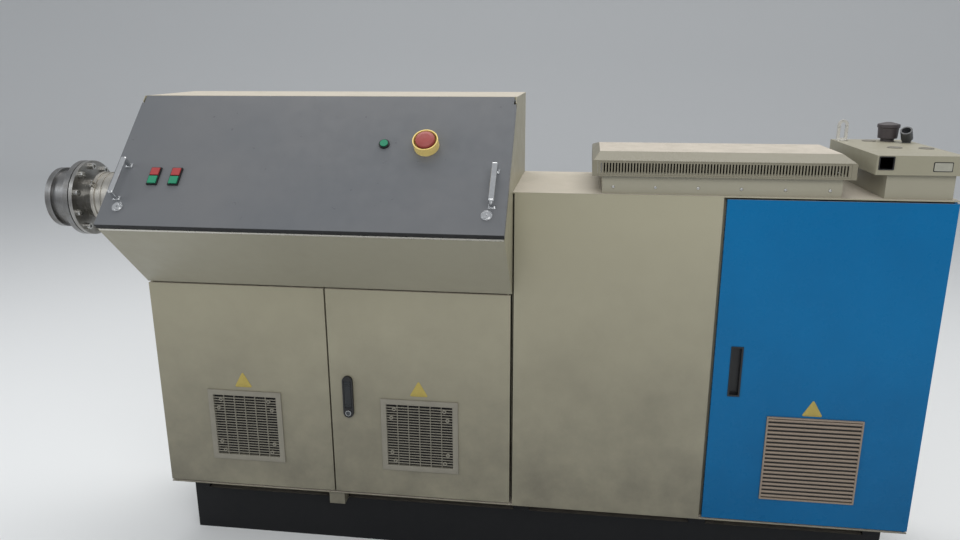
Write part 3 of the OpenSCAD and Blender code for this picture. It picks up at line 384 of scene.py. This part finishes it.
def turned_steel(name, bright, dark, rough, film):
    """Rings are noise in one way only: by x on cylinders and by the distance from the axis on faces."""
    f = Finish(name, rough, 1.0)
    f.soft_edges(0.0008)
    part = f.node("SeparateXYZ", {0: f.place(centre=(0, AXIS_Y, AXIS_Z))}).outputs
    radius = f.power(f.plus(f.times(part[1], part[1]), f.times(part[2], part[2])), 0.5)
    counted = {0: f.times(part[0], RINGS_PER_M), 1: f.times(radius, RINGS_PER_M)}
    along = f.node("CombineXYZ", counted).outputs[0]
    rings = f.node("TexNoise", {"Vector": along, "Scale": 1.0, "Detail": 3.0}).outputs["Fac"]
    stain = f.ramp(f.noise(0.05, 7.0, 0.65), 0.42, 0.7)
    f.colour(f.mix(f.times(stain, film), f.mix(f.ramp(rings, 0.35, 0.65), bright, dark), rgb(92, 84, 74)))
    f.rough(f.plus(f.ramp(rings, 0.3, 0.7, rough - 0.06, rough + 0.08), f.times(stain, 0.15)))
    f.bump(rings, 0.00004)
    return f.material


dress(["barrel"], turned_steel("turned_steel", rgb(176, 175, 172), rgb(134, 133, 131), 0.3, 0.35))
dress(["adapter"], turned_steel("adapter_steel", rgb(150, 150, 150), rgb(112, 112, 112), 0.34, 0.45))

# Heater bands. Ribbed stainless sleeves round the barrel. Each strap at their ends is drawn tight by a
# hexagon screw and nut through two upright lugs, on the side that a fitter reaches from the front.
dress(["heater_bands"], turned_steel("band_steel", rgb(196, 192, 184), rgb(160, 157, 150), 0.36, 0.3))
BAND_COUNT, BAND_GAP, STRAP_W = 5, 0.026, 0.012
CLAMP_TURN = math.radians(52)
LUG_W, LUG_H, LUG_T, LUG_GAP, LUG_SINK = 0.011, 0.017, 0.002, 0.006, 0.002
CLAMP_UP = 0.002
bands_low, bands_high = np.array(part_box("heater_bands"))
band_r = (bands_high[1] - bands_low[1]) / 2
band_l = (bands_high[0] - bands_low[0] + BAND_GAP) / BAND_COUNT - BAND_GAP
clamp_face = np.array([(1.0, 0, 0), (0, -math.sin(CLAMP_TURN), math.cos(CLAMP_TURN)),
                       (0, -math.cos(CLAMP_TURN), -math.sin(CLAMP_TURN))])


def rounded_box(width, height, power=6.0, count=48):
    """Superellipse: half the width times cos t and half the height times sin t, each to the power
    2 over the given one, its sign kept."""
    turn = np.arange(count) * 2 * math.pi / count
    wave = np.stack([np.cos(turn), np.sin(turn)], -1)
    return np.sign(wave) * np.abs(wave) ** (2 / power) * np.array([width / 2, height / 2])


def crowned(outline, rows, seat, face, ring=False):
    """Solid on an outline: each row is the outline drawn in to a share of its size, at a height above
    the seat. A ring's last row joins its first."""
    share, height = np.array(rows, float).T
    flat = np.concatenate([outline[:, None, :] * share[None, :, None],
                           np.broadcast_to(height[None, :, None], (len(outline), len(share), 1))], -1)
    return flat @ face + np.asarray(seat), grid_faces(len(outline), len(share), wrap_u=True, wrap_v=ring)


clamp_screw = [(0, -0.0115), (0.0022, -0.0115), (0.0022, -0.0102), (0.0045, -0.0102, 1),
               (0.0045, -0.007, 1), (0.0022, -0.007), (0.0022, 0.007), (0.0045, 0.007, 1),
               (0.0045, 0.0102, 1), (0, 0.0102)]
lug_rows = [(0, -LUG_T / 2), (1, -LUG_T / 2), (1, LUG_T / 2), (0, LUG_T / 2)]
lugs, screws = [], []
for band in range(BAND_COUNT):
    for end in (STRAP_W / 2, band_l - STRAP_W / 2):
        seat = (np.array([bands_low[0] + band * (band_l + BAND_GAP) + end, AXIS_Y, AXIS_Z])
                + clamp_face[1] * (band_r - LUG_SINK + LUG_H / 2))
        lugs += [crowned(rounded_box(LUG_W, LUG_H), lug_rows, seat + clamp_face[2] * side, clamp_face)
                 for side in (-LUG_GAP, LUG_GAP)]
        screws += turned(clamp_screw, [seat + clamp_face[1] * CLAMP_UP], clamp_face, 18)
fitted(build("band_lugs", lugs, steel_fitting("band_lug_steel", rgb(176, 172, 164), 0.34)), "frame")
fitted(build("band_clamp_screws", screws, bright_zinc), "frame")

# Flange screws. Zinc-plated cap screws with hexagon sockets, in a circle round the barrel's flange. They
# draw the adapter's flange towards it.
dress(["flange_screws"], bright_zinc)

# Saddle and drive bed. Steel plate, cut and welded, then painted grey. The saddle holds the barrel up
# between two heater bands, and the bed carries the gearbox and the motor.
bed_paint = paint("grey_bed_paint", rgb(92, 95, 98), rgb(84, 86, 88), rgb(70, 68, 64), rough=0.5,
                  top_dust_and_light_share=0.3)
dress(["barrel_saddle", "drive_bed"], bed_paint)


# Gearbox and motor. Sand castings bolted to the drive bed, under thick machine paint, so the skin is
# pebbled and its edges are soft.
def casting(name, tone, shade):
    """Cast skin: the tone clouded with the shade, and a relief of sand grains under the paint."""
    f = Finish(name, 0.48)
    f.soft_edges(0.003)
    f.colour(f.mix(f.ramp(f.noise(0.12, 5.0), 0.35, 0.7), tone, shade))
    f.rough(f.ramp(f.noise(0.03, 5.0), 0.3, 0.75, 0.4, 0.62))
    f.bump(f.noise(0.0035, 4.0, 0.6), 0.0003)
    return f.material


dress(["gearbox"], casting("gearbox_casting", rgb(96, 118, 128), rgb(82, 100, 110)))
dress(["motor"], casting("motor_casting", rgb(76, 98, 116), rgb(66, 84, 100)))

# Vented hood. Folded from the cabinet's sheet over a plinth in the darker copy of the cabinet coat, whose
# darkness is painted shade; button heads hold the plinth to the roof along both long sides. The hood's coat
# is darker than the cabinet's as painted shade of its sloped band, and its level top is paled by dust that
# also paints the light on it. A plate punched with fine upright slots fills the window of each long skirt.
# Darker than the cabinet coat as painted shade of the sloped band; the level top is paled by dust and
# painted light
hood_shaded_coat = paint("hood_shaded_coat", rgb(130, 125, 108), rgb(124, 119, 102), rgb(98, 94, 82), top_dust_and_light_share=0.85)
dress(["hood"], hood_shaded_coat)
dress(["hood_plinth"], shaded_cream)
SLOT_STEP, SLOT_RIM, SKIRT_T = 0.008, 0.0035, 0.0015
SLOT_W = SLOT_STEP / 2


def lattice(us, vs, solid, start, face, thick):
    """Plate with oblong openings: the solid cells of a grid of breaks, as thick as given. A wall stands
    where a solid cell borders an open one or the outside."""
    points = np.stack(np.meshgrid(us, vs, [0.0, thick], indexing="ij"), -1).reshape(-1, 3)
    index = np.arange(len(us) * len(vs) * 2).reshape(len(us), len(vs), 2)
    cell = np.stack([index[:-1, :-1], index[1:, :-1], index[1:, 1:], index[:-1, 1:]], 2)
    edged = np.pad(solid, 1)
    i, j = np.nonzero(edged[1:, 1:-1] != edged[:-1, 1:-1])
    k, m = np.nonzero(edged[1:-1, 1:] != edged[1:-1, :-1])
    walls = [np.stack([index[i, j, 0], index[i, j + 1, 0], index[i, j + 1, 1], index[i, j, 1]], -1),
             np.stack([index[k, m, 0], index[k + 1, m, 0], index[k + 1, m, 1], index[k, m, 1]], -1)]
    faces = np.vstack([cell[solid][..., 0], cell[solid][..., 1]] + walls)
    return points @ face + np.asarray(start), faces


grille_low, grille_high = np.array(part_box("hood_grilles"))
grille_l, grille_h = grille_high[0] - grille_low[0], grille_high[2] - grille_low[2]
slots = int(grille_l / SLOT_STEP) - 1
slot_x = grille_l / 2 + (np.arange(slots) - (slots - 1) / 2) * SLOT_STEP
slot_sides = np.stack([slot_x - SLOT_W / 2, slot_x + SLOT_W / 2], -1).ravel()
breaks = np.concatenate([[0.0], slot_sides, [grille_l]])
punched = np.ones((len(breaks) - 1, 3), bool)
punched[1::2, 1] = False
levels = [0.0, SLOT_RIM, grille_h - SLOT_RIM, grille_h]
skirt_ends = [(FRONT, grille_low[0], grille_low[1]), (BACK, grille_high[0], grille_high[1])]
skirts = [lattice(breaks, levels, punched, (x, y, grille_low[2]), face, -SKIRT_T)
          for face, x, y in skirt_ends]
slotted = build("hood_slots", skirts, hood_shaded_coat)
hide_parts("hood_grilles")
fitted(slotted, "frame")
PLINTH_IN, PLINTH_STEP, PLINTH_UP = 0.03, 0.15, 0.018
PLINTH_HEAD = button_head(0.0042, 0.0024)
plinth_low, plinth_high = np.array(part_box("hood_plinth"))
row_x = np.linspace(plinth_low[0] + PLINTH_IN, plinth_high[0] - PLINTH_IN,
                    math.ceil((plinth_high[0] - plinth_low[0]) / PLINTH_STEP) + 1)
heads = []
for face, y in [(FRONT, plinth_low[1]), (BACK, plinth_high[1])]:
    heads += turned(PLINTH_HEAD, [(x, y, plinth_low[2] + PLINTH_UP) for x in row_x], face)
fitted(build("hood_plinth_screws", heads, bright_zinc), "frame")


# Raised box. Its lid is closed with moulded plugs where it is drilled, the cable port has a rubber
# edging, and a bare plate sits on a dark gasket at the front.
def moulding(name, tone, rough, grain=0.00006, coat=0.0):
    """Moulded plastic: an even tone, faintly clouded, with the spark texture of the tool."""
    f = Finish(name, rough)
    f.soft_edges(0.0008)
    darker = tuple(c * 0.9 for c in tone[:3]) + (1.0,)
    f.colour(f.mix(f.ramp(f.noise(0.05, 4.0), 0.35, 0.7), tone, darker))
    f.rough(f.ramp(f.noise(0.02, 4.0), 0.3, 0.75, max(0.06, rough - 0.06), rough + 0.08))
    f.bump(f.noise(0.0006, 2.0), grain)
    f.shader.inputs["Coat Weight"].default_value = coat
    return f.material


lid_coat = paint("lid_coat", rgb(150, 146, 126), rgb(143, 139, 120), rgb(104, 100, 88), top_dust_and_light_share=0.12)
dress(["box_lid"], lid_coat)
dress(["box_body"], shaded_cream)
lid_low, lid_high = np.array(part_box("box_lid"))
lid_size = lid_high - lid_low
ROOF = np.eye(3)
PLUG_AT = [(0.49, 0.45), (0.85, 0.42), (0.44, 0.88)]
PLUG_R, PLUG_H = 0.0195, 0.0022
plug_profile = [(0, -0.001), (0.85 * PLUG_R, -0.001), (0.85 * PLUG_R, 0), (PLUG_R, 0),
                (PLUG_R, 0.5 * PLUG_H), (0.93 * PLUG_R, PLUG_H), (0.7 * PLUG_R, PLUG_H),
                (0.64 * PLUG_R, 0.5 * PLUG_H), (0, 0.4 * PLUG_H)]
plug_seats = [(lid_low[0] + u * lid_size[0], lid_low[1] + v * lid_size[1], lid_high[2])
              for u, v in PLUG_AT]
grey_plastic = moulding("grey_plastic", rgb(112, 108, 98), 0.5)
fitted(build("lid_plugs", turned(plug_profile, plug_seats, ROOF, 40), grey_plastic), "frame")

rubber = moulding("black_rubber", rgb(19, 20, 22), 0.62, 0.00012)
PORT_W, PORT_H, PORT_SHEET, PORT_AT = 0.036, 0.033, 0.003, 1 / 9
port_seat = (lid_low[0] + lid_size[0] * PORT_AT, lid_low[1], lid_high[2] - PORT_SHEET - PORT_H / 2)
edging_rows = [(0.99, -0.004), (0.99, 0.0004), (1.07, 0.0004), (1.07, 0.0016), (1.02, 0.0024),
               (0.95, 0.0024), (0.9, 0.0014), (0.9, -0.004)]
edging = crowned(rounded_box(PORT_W, PORT_H, 16.0, 72), edging_rows, port_seat, FRONT, ring=True)
fitted(build("port_edging", [edging], rubber), "frame")

PLATE_W, PLATE_H, PLATE_T = 0.043, 0.021, 0.0008
PLATE_IN, PLATE_DROP, GASKET_RIM = 0.0545, 0.0025, 0.002
bare_plate = steel_fitting("bare_plate", rgb(176, 174, 160), 0.4, 0.1, 0.7)
plate_seat = np.array([lid_high[0] - PLATE_IN, lid_low[1], (lid_low[2] + lid_high[2]) / 2 - PLATE_DROP])
plate_rows = [(0, -0.0003), (1, -0.0003), (1, 0.6 * PLATE_T), (0.985, PLATE_T), (0, PLATE_T)]
gasket = crowned(rounded_box(PLATE_W + 2 * GASKET_RIM, PLATE_H + 2 * GASKET_RIM, 16.0), plate_rows,
                 plate_seat, FRONT)
fitted(build("box_gasket", [gasket], rubber), "frame")
plate = crowned(rounded_box(PLATE_W, PLATE_H, 16.0), plate_rows, plate_seat + FRONT[2] * PLATE_T, FRONT)
fitted(build("box_plate", [plate], bare_plate), "frame")

# Filler cap, vent and lifting eye. The cap is black moulding, the vent's stub dark painted pipe and the
# eye bright-plated steel.
black_plastic = moulding("black_plastic", rgb(16, 17, 19), 0.42)
dress(["breather"], moulding("cap_black", rgb(64, 58, 60), 0.45))
dress(["vent_stub"], moulding("stub_paint", rgb(62, 64, 66), 0.4))
eye_steel = steel_fitting("eye_steel", rgb(204, 202, 196), 0.3, 0.15, 0.6)
dress(["lifting_eye"], eye_steel)

# Hinged doors with their filters. Each grille is one moulding: a frame with a collar that fills the
# cut-out, thin slats, upright ribs over them, and a pair of screwed bosses in each corner. A pleated
# mat of dark fibre lies behind.
dress(["door_a", "door_b"], cream)
grille_plastic = moulding("grille_plastic", rgb(130, 126, 114), 0.5)
FIELD, PLEATS, PLEAT = 0.205, 34, 0.0035
GRILLE_ROWS, GRILLE_COLS = 23, 6
SLAT_H, SLAT_D, SLAT_LEAN, SLAT_OUT = 0.0020, 0.0034, 0.25, 0.0018
RIB_W, RIB_D, RIB_OUT = 0.0022, 0.0066, 0.0008
CORNER_BOSSES = [(0.0245, 0.0150), (0.0150, 0.0440)]
BOSS_R, BOSS_TOP = 0.0062, 0.0046
# How far a slat, a rib or a bar runs into what holds it
BITE = 0.0002
boss_profile = [(0, -0.001), (BOSS_R, -0.001), (BOSS_R, BOSS_TOP - 0.0006), (0.9 * BOSS_R, BOSS_TOP),
                (0.58 * BOSS_R, BOSS_TOP), (0.5 * BOSS_R, BOSS_TOP - 0.0005), (0.5 * BOSS_R, 0.001),
                (0, 0.001)]
# Rows of the frame's profile: the way out from the field's edge, and the height over the leaf
frame_profile = [(0, -0.014), (0, 0.0036), (0.0008, 0.0046), (0.002, 0.005), (0.0152, 0.005),
                 (0.0168, 0.0044), (0.0175, 0.003), (0.0175, 0), (0.0077, 0), (0.0077, -0.014)]


def mitred(profile, half, seat, face):
    """Frame: each row of the profile goes round a square of the half side plus the row's way out, with
    mitres at the corners."""
    out, up = np.array(profile, float).T
    corner = np.array([(-1, -1), (1, -1), (1, 1), (-1, 1)], float)
    flat = np.concatenate([corner[:, None, :] * (half + out)[None, :, None],
                           np.broadcast_to(up[None, :, None], (4, len(out), 1))], -1)
    return flat @ face + np.asarray(seat), grid_faces(4, len(out), wrap_u=True, wrap_v=True)


def carried(section, start, face, length):
    """Closed section, in the face's second and third ways, carried a length along its first way."""
    section = np.asarray(section, float)
    count = len(section)
    run = np.array([0.0, length])[:, None]
    flat = np.stack([np.broadcast_to(run, (2, count)), np.broadcast_to(section[:, 0], (2, count)),
                     np.broadcast_to(section[:, 1], (2, count))], -1)
    ends = [list(range(count)), list(range(2 * count - 1, count - 1, -1))]
    return flat @ face + np.asarray(start), grid_faces(2, count, wrap_v=True).tolist() + ends


def fibre(name, tone, fleck):
    """Needled fibre: a tone broken by fine flecks, with a matted relief."""
    f = Finish(name, 0.95)
    f.colour(f.mix(f.ramp(f.noise(0.0012, 4.0, 0.7), 0.4, 0.7), tone, fleck))
    f.bump(f.noise(0.0016, 5.0, 0.8), 0.0006)
    return f.material


mat_fibre = fibre("mat_fibre", rgb(22, 23, 24), rgb(46, 47, 47))
MAT_BACK, MAT_EDGE, MAT_WEB = 0.0085, 0.0005, 0.002
across = np.linspace(MAT_EDGE, FIELD - MAT_EDGE, 2 * PLEATS + 1)
pleated = np.stack([across, np.where(np.arange(len(across)) % 2, 0.0, PLEAT)], -1)
mat_section = np.vstack([pleated, [(across[-1], PLEAT + MAT_WEB), (across[0], PLEAT + MAT_WEB)]])
MAT_WAY = np.array([(0, 0, 1.0), (1.0, 0, 0), (0, 1.0, 0)])
RIB_WAY = np.array([(0, 0, 1.0), (1.0, 0, 0), (0, -1.0, 0)])
yellow_plate = steel_fitting("yellow_plate", rgb(166, 148, 74), 0.46, 0.1, 0.1)
SIGN_W, SIGN_H, SIGN_R, SIGN_T, SIGN_UP = 0.058, 0.051, 0.0035, 0.001, 0.012


def rounded_triangle(width, height, radius, count=8):
    """Outline of a triangle on its base, about the middle of its area: an arc of the radius at each
    corner, whose middle lies the radius inside both edges."""
    corner = np.array([(-width / 2, -height / 3), (width / 2, -height / 3), (0, 2 * height / 3)])
    ahead = np.roll(corner, -1, axis=0) - corner
    ahead /= np.linalg.norm(ahead, axis=1)[:, None]
    behind = np.roll(ahead, 1, axis=0)
    half = np.arccos(-(ahead * behind).sum(1)) / 2
    inward = (ahead - behind) / np.linalg.norm(ahead - behind, axis=1)[:, None]
    middle = corner + inward * (radius / np.sin(half))[:, None]
    start = np.arctan2(-behind[:, 0], behind[:, 1])
    sweep = (math.pi - 2 * half)[:, None] * np.linspace(0, 1, count)
    turn = start[:, None] + sweep
    return (middle[:, None, :] + radius * np.stack([np.cos(turn), np.sin(turn)], -1)).reshape(-1, 2)


sign_rows = [(0, -0.0003), (1, -0.0003), (1, 0.6 * SIGN_T), (0.97, SIGN_T), (0, SIGN_T)]
sign_outline = rounded_triangle(SIGN_W, SIGN_H, SIGN_R)


def sign_plate(name, vent, leaf, aside=0.0, up=SIGN_UP):
    """Bare triangular plate on the leaf, a thumb's breadth over its vent."""
    low, high = np.array(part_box(vent))
    seat = ((low[0] + high[0]) / 2 + aside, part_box(leaf)[0][1], high[2] + up + SIGN_H / 3)
    sign = crowned(sign_outline, sign_rows, seat, FRONT)
    fitted(build(name, [sign], yellow_plate), leaf)


slat = rounded_box(SLAT_H, SLAT_D, 4.0, 12) + (0, SLAT_OUT)
slat[:, 0] -= SLAT_LEAN * (slat[:, 1] - SLAT_OUT)
rib = rounded_box(RIB_W, RIB_D, 5.0, 12) + (0, RIB_OUT)
boss_screw = [(0, 0.0009), (0.0027, 0.0009), (0.0027, 0.0024), (0.0022, 0.003), (0, 0.0031)]
dark_screw = steel_fitting("dark_screw", rgb(58, 57, 55), 0.45)
for letter in "ab":
    leaf, vent = "door_" + letter, "filter_" + letter
    low, high = np.array(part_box(vent))
    mid = (low + high) / 2
    seat = np.array([mid[0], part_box(leaf)[0][1], mid[2]])
    grille = [mitred(frame_profile, FIELD / 2, seat, FRONT)]
    for z in (np.arange(1, GRILLE_ROWS) / GRILLE_ROWS - 0.5) * FIELD:
        grille.append(carried(slat, seat + (-FIELD / 2 - BITE, 0, z), FRONT, FIELD + 2 * BITE))
    for x in (np.arange(1, GRILLE_COLS) / GRILLE_COLS - 0.5) * FIELD:
        grille.append(carried(rib, seat + (x, 0, -FIELD / 2 - BITE), RIB_WAY, FIELD + 2 * BITE))
    bosses = [seat + (u * (FIELD / 2 - dx), 0, v * (FIELD / 2 - dz))
              for dx, dz in CORNER_BOSSES for u in (-1, 1) for v in (-1, 1)]
    grille += turned(boss_profile, bosses, FRONT)
    moulded = build("filter_grille_" + letter, grille, grille_plastic)
    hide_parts(vent)
    fitted(moulded, leaf)
    fitted(build("filter_screws_" + letter, turned(boss_screw, bosses, FRONT), dark_screw), leaf)
    mat_start = (mid[0] - FIELD / 2, low[1] + MAT_BACK, mid[2] - FIELD / 2 + MAT_EDGE)
    mat = carried(mat_section, mat_start, MAT_WAY, FIELD - 2 * MAT_EDGE)
    fitted(build("filter_mat_" + letter, [mat], mat_fibre, 20.0), leaf)
    sign_plate("sign_plate_" + letter, vent, leaf)

# Plane lock. A black moulded body with a lever that lies in its hollow, and a bright push button with a
# keyway at the lower end. Three finger ribs run across the lever.
dress(["plane_lock"], black_plastic)
lock_low, lock_high = np.array(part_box("plane_lock"))
lock_x, lock_w = (lock_low[0] + lock_high[0]) / 2, lock_high[0] - lock_low[0]
LOCK_PROUD, LEVER_SINK, LOCK_RIM, LEVER_PLAY = 0.009, 0.003, 0.005, 0.0006
lever_z0, lever_z1 = lock_low[2] + lock_w, lock_high[2] - lock_w / 2
lever_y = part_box("door_b")[0][1] - LOCK_PROUD + LEVER_SINK
lever_w, lever_l = lock_w - 2 * (LOCK_RIM + LEVER_PLAY), lever_z1 - lever_z0 - 2 * LEVER_PLAY
lever_rows = [(0, -0.0003), (1, -0.0003), (1, 0.0022), (0.96, 0.003), (0.86, 0.0034), (0, 0.0036)]
lever = crowned(rounded_box(lever_w, lever_l, 9.0), lever_rows,
                (lock_x, lever_y, (lever_z0 + lever_z1) / 2), FRONT)
# Half-round finger ribs, two near the lever's top and one near its foot
FINGER_R, FINGER_UP, FINGER_HIGH, FINGER_SHARE = 0.0013, 0.003, 0.0016, 0.84
FINGER_TOP, FINGER_STEP, FINGER_FOOT = 0.010, 0.006, 0.012
finger_z = (lever_z1 - FINGER_TOP, lever_z1 - FINGER_TOP - FINGER_STEP, lever_z0 + FINGER_FOOT)
arc = np.linspace(0, math.pi, 9)
finger_rib = np.stack([FINGER_R * np.cos(arc), FINGER_UP + FINGER_HIGH * np.sin(arc)], -1)
finger_ribs = [carried(finger_rib, (lock_x - FINGER_SHARE / 2 * lever_w, lever_y, z), FRONT,
                       FINGER_SHARE * lever_w) for z in finger_z]
lever_black = moulding("lever_black", rgb(18, 23, 27), 0.34)
fitted(build("lock_lever", [lever] + finger_ribs, lever_black), "door_b")
key_seat = np.array([lock_x, lock_low[1], lock_low[2] + lock_w / 2])
key_ring = [(0, -0.0004), (0.0092, -0.0004), (0.0092, 0.0008), (0.0086, 0.0016), (0.0074, 0.0018),
            (0.0068, 0.0012), (0.0064, 0.0002), (0, 0.0002)]
key_core = [(0, 0.0001), (0.0062, 0.0001), (0.0062, 0.0013), (0.0056, 0.0017), (0, 0.0018)]
KEYWAY_W, KEYWAY_H, KEYWAY_FOOT, KEYWAY_TOP = 0.0015, 0.0066, 0.0014, 0.00185
keyway_rows = [(0, KEYWAY_FOOT), (1, KEYWAY_FOOT), (1, KEYWAY_TOP), (0, KEYWAY_TOP)]
keyway = crowned(rounded_box(KEYWAY_W, KEYWAY_H, 5.0), keyway_rows, key_seat, FRONT)
chrome_plate = steel_fitting("chrome_plate", rgb(176, 178, 180), 0.16, 0.1)
fitted(build("lock_button", turned(key_ring, [key_seat], FRONT, 40), chrome_plate), "door_b")
core_steel = steel_fitting("core_steel", rgb(84, 86, 88), 0.3)
fitted(build("lock_core", turned(key_core, [key_seat], FRONT, 32), core_steel), "door_b")
fitted(build("lock_keyway", [keyway], rubber), "door_b")

# Drive door. The blue leaf has the same powder coat as the cabinet in a glossier colour, and its pull is a
# black moulding. Its vent is a panel of round-nosed bars inside a narrow rim, with a dark filter sheet
# close behind them, whose dark tone paints the shade in the gaps between the bars.
# Darker blue towards the floor: painted shade of the lower leaf, with grime
blue = paint("blue_coat", rgb(0, 104, 158), rgb(0, 96, 148), rgb(0, 62, 100), rough=0.3, low_grime_and_shade_share=0.4,
             sheen=0.2)
dress(["drive_door"], blue)
dress(["grip"], black_plastic)
BARS, BAR_H, BAR_D, BAR_FOOT, BAR_SHOULDER = 20, 0.0072, 0.0042, 0.0006, 0.0012
VENT_RIM, VENT_WALL, VENT_EDGE = 0.005, 0.003, 0.0153
louvre_low, louvre_high = np.array(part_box("louvre"))
louvre_half = (louvre_high[0] - louvre_low[0]) / 2
louvre_seat = np.array([louvre_low[0] + louvre_half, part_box("drive_door")[0][1],
                        louvre_low[2] + louvre_half])
hole_half, bar_field = louvre_half - VENT_EDGE, louvre_half - VENT_RIM
# Rows from the collar's inner wall, over the flange behind the bars, and round the rim
rim_at = bar_field - hole_half + VENT_WALL
rim_end = rim_at + VENT_RIM
louvre_profile = [(0, -0.014), (0, 0.0004), (rim_at, 0.0004), (rim_at, 0.0044), (rim_at + 0.0006, 0.005),
                  (rim_end - 0.0006, 0.005), (rim_end, 0.0044), (rim_end, 0), (VENT_WALL, 0),
                  (VENT_WALL, -0.014)]
nose_arc = np.linspace(0, math.pi, 11)
nose = np.stack([BAR_H / 2 * np.cos(nose_arc),
                 BAR_SHOULDER + (BAR_D - BAR_SHOULDER) * np.sin(nose_arc) ** 0.7], -1)
bar = np.vstack([[(BAR_H / 2, BAR_FOOT)], nose, [(-BAR_H / 2, BAR_FOOT)]])
panel = [mitred(louvre_profile, hole_half - VENT_WALL, louvre_seat, FRONT)]
for z in ((np.arange(BARS) + 0.5) / BARS - 0.5) * 2 * bar_field:
    panel.append(carried(bar, louvre_seat + (-bar_field - BITE, 0, z), FRONT, 2 * (bar_field + BITE)))
barred = build("louvre_panel", panel, steel_fitting("louvre_coat", rgb(136, 122, 108), 0.45, 0.12, 0.2))
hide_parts("louvre")
fitted(barred, "drive_door")
# The dark sheet behind the bars: a filter sheet, dark to paint the shade between them
MESH_FOOT, MESH_TOP = 0.00045, 0.00065
mesh_rows = [(0, MESH_FOOT), (1, MESH_FOOT), (1, MESH_TOP), (0, MESH_TOP)]
mesh_square = np.array([(-1, -1), (1, -1), (1, 1), (-1, 1)]) * (bar_field - BITE)
fitted(build("louvre_mesh_painted_shade", [crowned(mesh_square, mesh_rows, louvre_seat, FRONT)], mat_fibre), "drive_door")
sign_plate("sign_plate_c", "louvre", "drive_door", aside=-0.010, up=0.006)

# Console nose. A bright U-shaped trim is clipped over the upper bend of its sheet, where the cover comes
# down on it. The trim is bright to paint the highlight along the bend.
HEAD_Z, NOSE_OUT, NOSE_RISE = 0.880, 0.225, 0.223
TRIM_W, TRIM_T, TRIM_IN = 0.006, 0.0012, 0.001
nose_low, nose_high = np.array(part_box("nose_panel"))
door_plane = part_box("door_a")[0][1]
nose_way = np.array([NOSE_OUT, -NOSE_RISE]) / math.hypot(NOSE_OUT, NOSE_RISE)
bend = (nose_low[0] + TRIM_IN, nose_low[1], HEAD_Z + (door_plane - nose_low[1]) * NOSE_RISE / NOSE_OUT)
under_nose = np.array([(1.0, 0, 0), (0, nose_way[0], nose_way[1]), (0, nose_way[1], -nose_way[0])])
trim = [(TRIM_W, -0.0002), (TRIM_W, TRIM_T), (0.0006, TRIM_T * 1.15), (-0.0008, TRIM_T * 0.7),
        (-0.0012, -0.0004), (-0.0004, -0.0014), (0.0002, -0.0002)]
# Bright to paint the highlight along the bend
nose_highlight_steel = steel_fitting("nose_highlight_steel", rgb(206, 203, 194), 0.3, 0.1, 0.8)
trim_run = carried(trim, bend, under_nose, nose_high[0] - nose_low[0] - 2 * TRIM_IN)
fitted(build("nose_highlight_trim", [trim_run], nose_highlight_steel), "frame")

# Console cover. Folded sheet in a satin slate coat, hung along its upper edge. A ribbed rubber strip
# covers its front edge, and two chromed bow handles and turn locks lift it and hold it shut.
slate = paint("slate_coat", rgb(104, 105, 107), rgb(95, 98, 102), rgb(70, 70, 70), rough=0.34)
dress(["cover"], slate)
COVER_RISE, COVER_RUN = 0.324, 0.325
SLOPE = math.atan2(COVER_RISE, COVER_RUN)
LEAF_T, STRIP_T, STRIP_RIBS, STRIP_IN, STRIP_SINK, STRIP_TOP = 0.016, 0.0016, 4, 0.0006, 0.0003, 0.0014
cover_low, cover_high = np.array(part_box("cover"))
slope_face = np.array([(1.0, 0, 0), (0, math.cos(SLOPE), math.sin(SLOPE)),
                       (0, -math.sin(SLOPE), math.cos(SLOPE))])
lip = np.array([cover_low[0], cover_low[1], cover_low[2] + LEAF_T * math.cos(SLOPE)])
strip_n = np.linspace(-LEAF_T + STRIP_SINK, -STRIP_TOP, 25)
strip_out = -STRIP_T * (0.75 + 0.25 * np.cos((strip_n / LEAF_T) * 2 * math.pi * STRIP_RIBS))
strip_section = np.vstack([[(STRIP_SINK, strip_n[0])], np.stack([strip_out, strip_n], -1),
                           [(STRIP_SINK, strip_n[-1])]])
strip = carried(strip_section, lip + np.array([STRIP_IN, 0, 0]), slope_face,
                cover_high[0] - cover_low[0] - 2 * STRIP_IN)
fitted(build("cover_strip", [strip], rubber), "cover")
dress(["bow_handles", "turn_locks"], steel_fitting("handle_chrome", rgb(214, 215, 216), 0.14, 0.1))

# Push buttons and the emergency stop. Moulded caps that press into black bezels in the cover, and a red
# head that presses into a yellow collar.
dress(["button_bezels"], black_plastic)
dress(["stop_collar"], moulding("yellow_moulding", rgb(246, 218, 134), 0.38, 0.00003, 0.1))
dress(["stop_knob"], moulding("stop_red", rgb(152, 68, 64), 0.5, 0.00003))
dress(["red_cap_1", "red_cap_2"], moulding("red_moulding", rgb(160, 58, 58), 0.34, 0.00002, 0.1))
green_moulding = moulding("green_moulding", rgb(34, 132, 98), 0.34, 0.00002, 0.1)
dress(["round_button", "green_cap_1", "green_cap_2"], green_moulding)
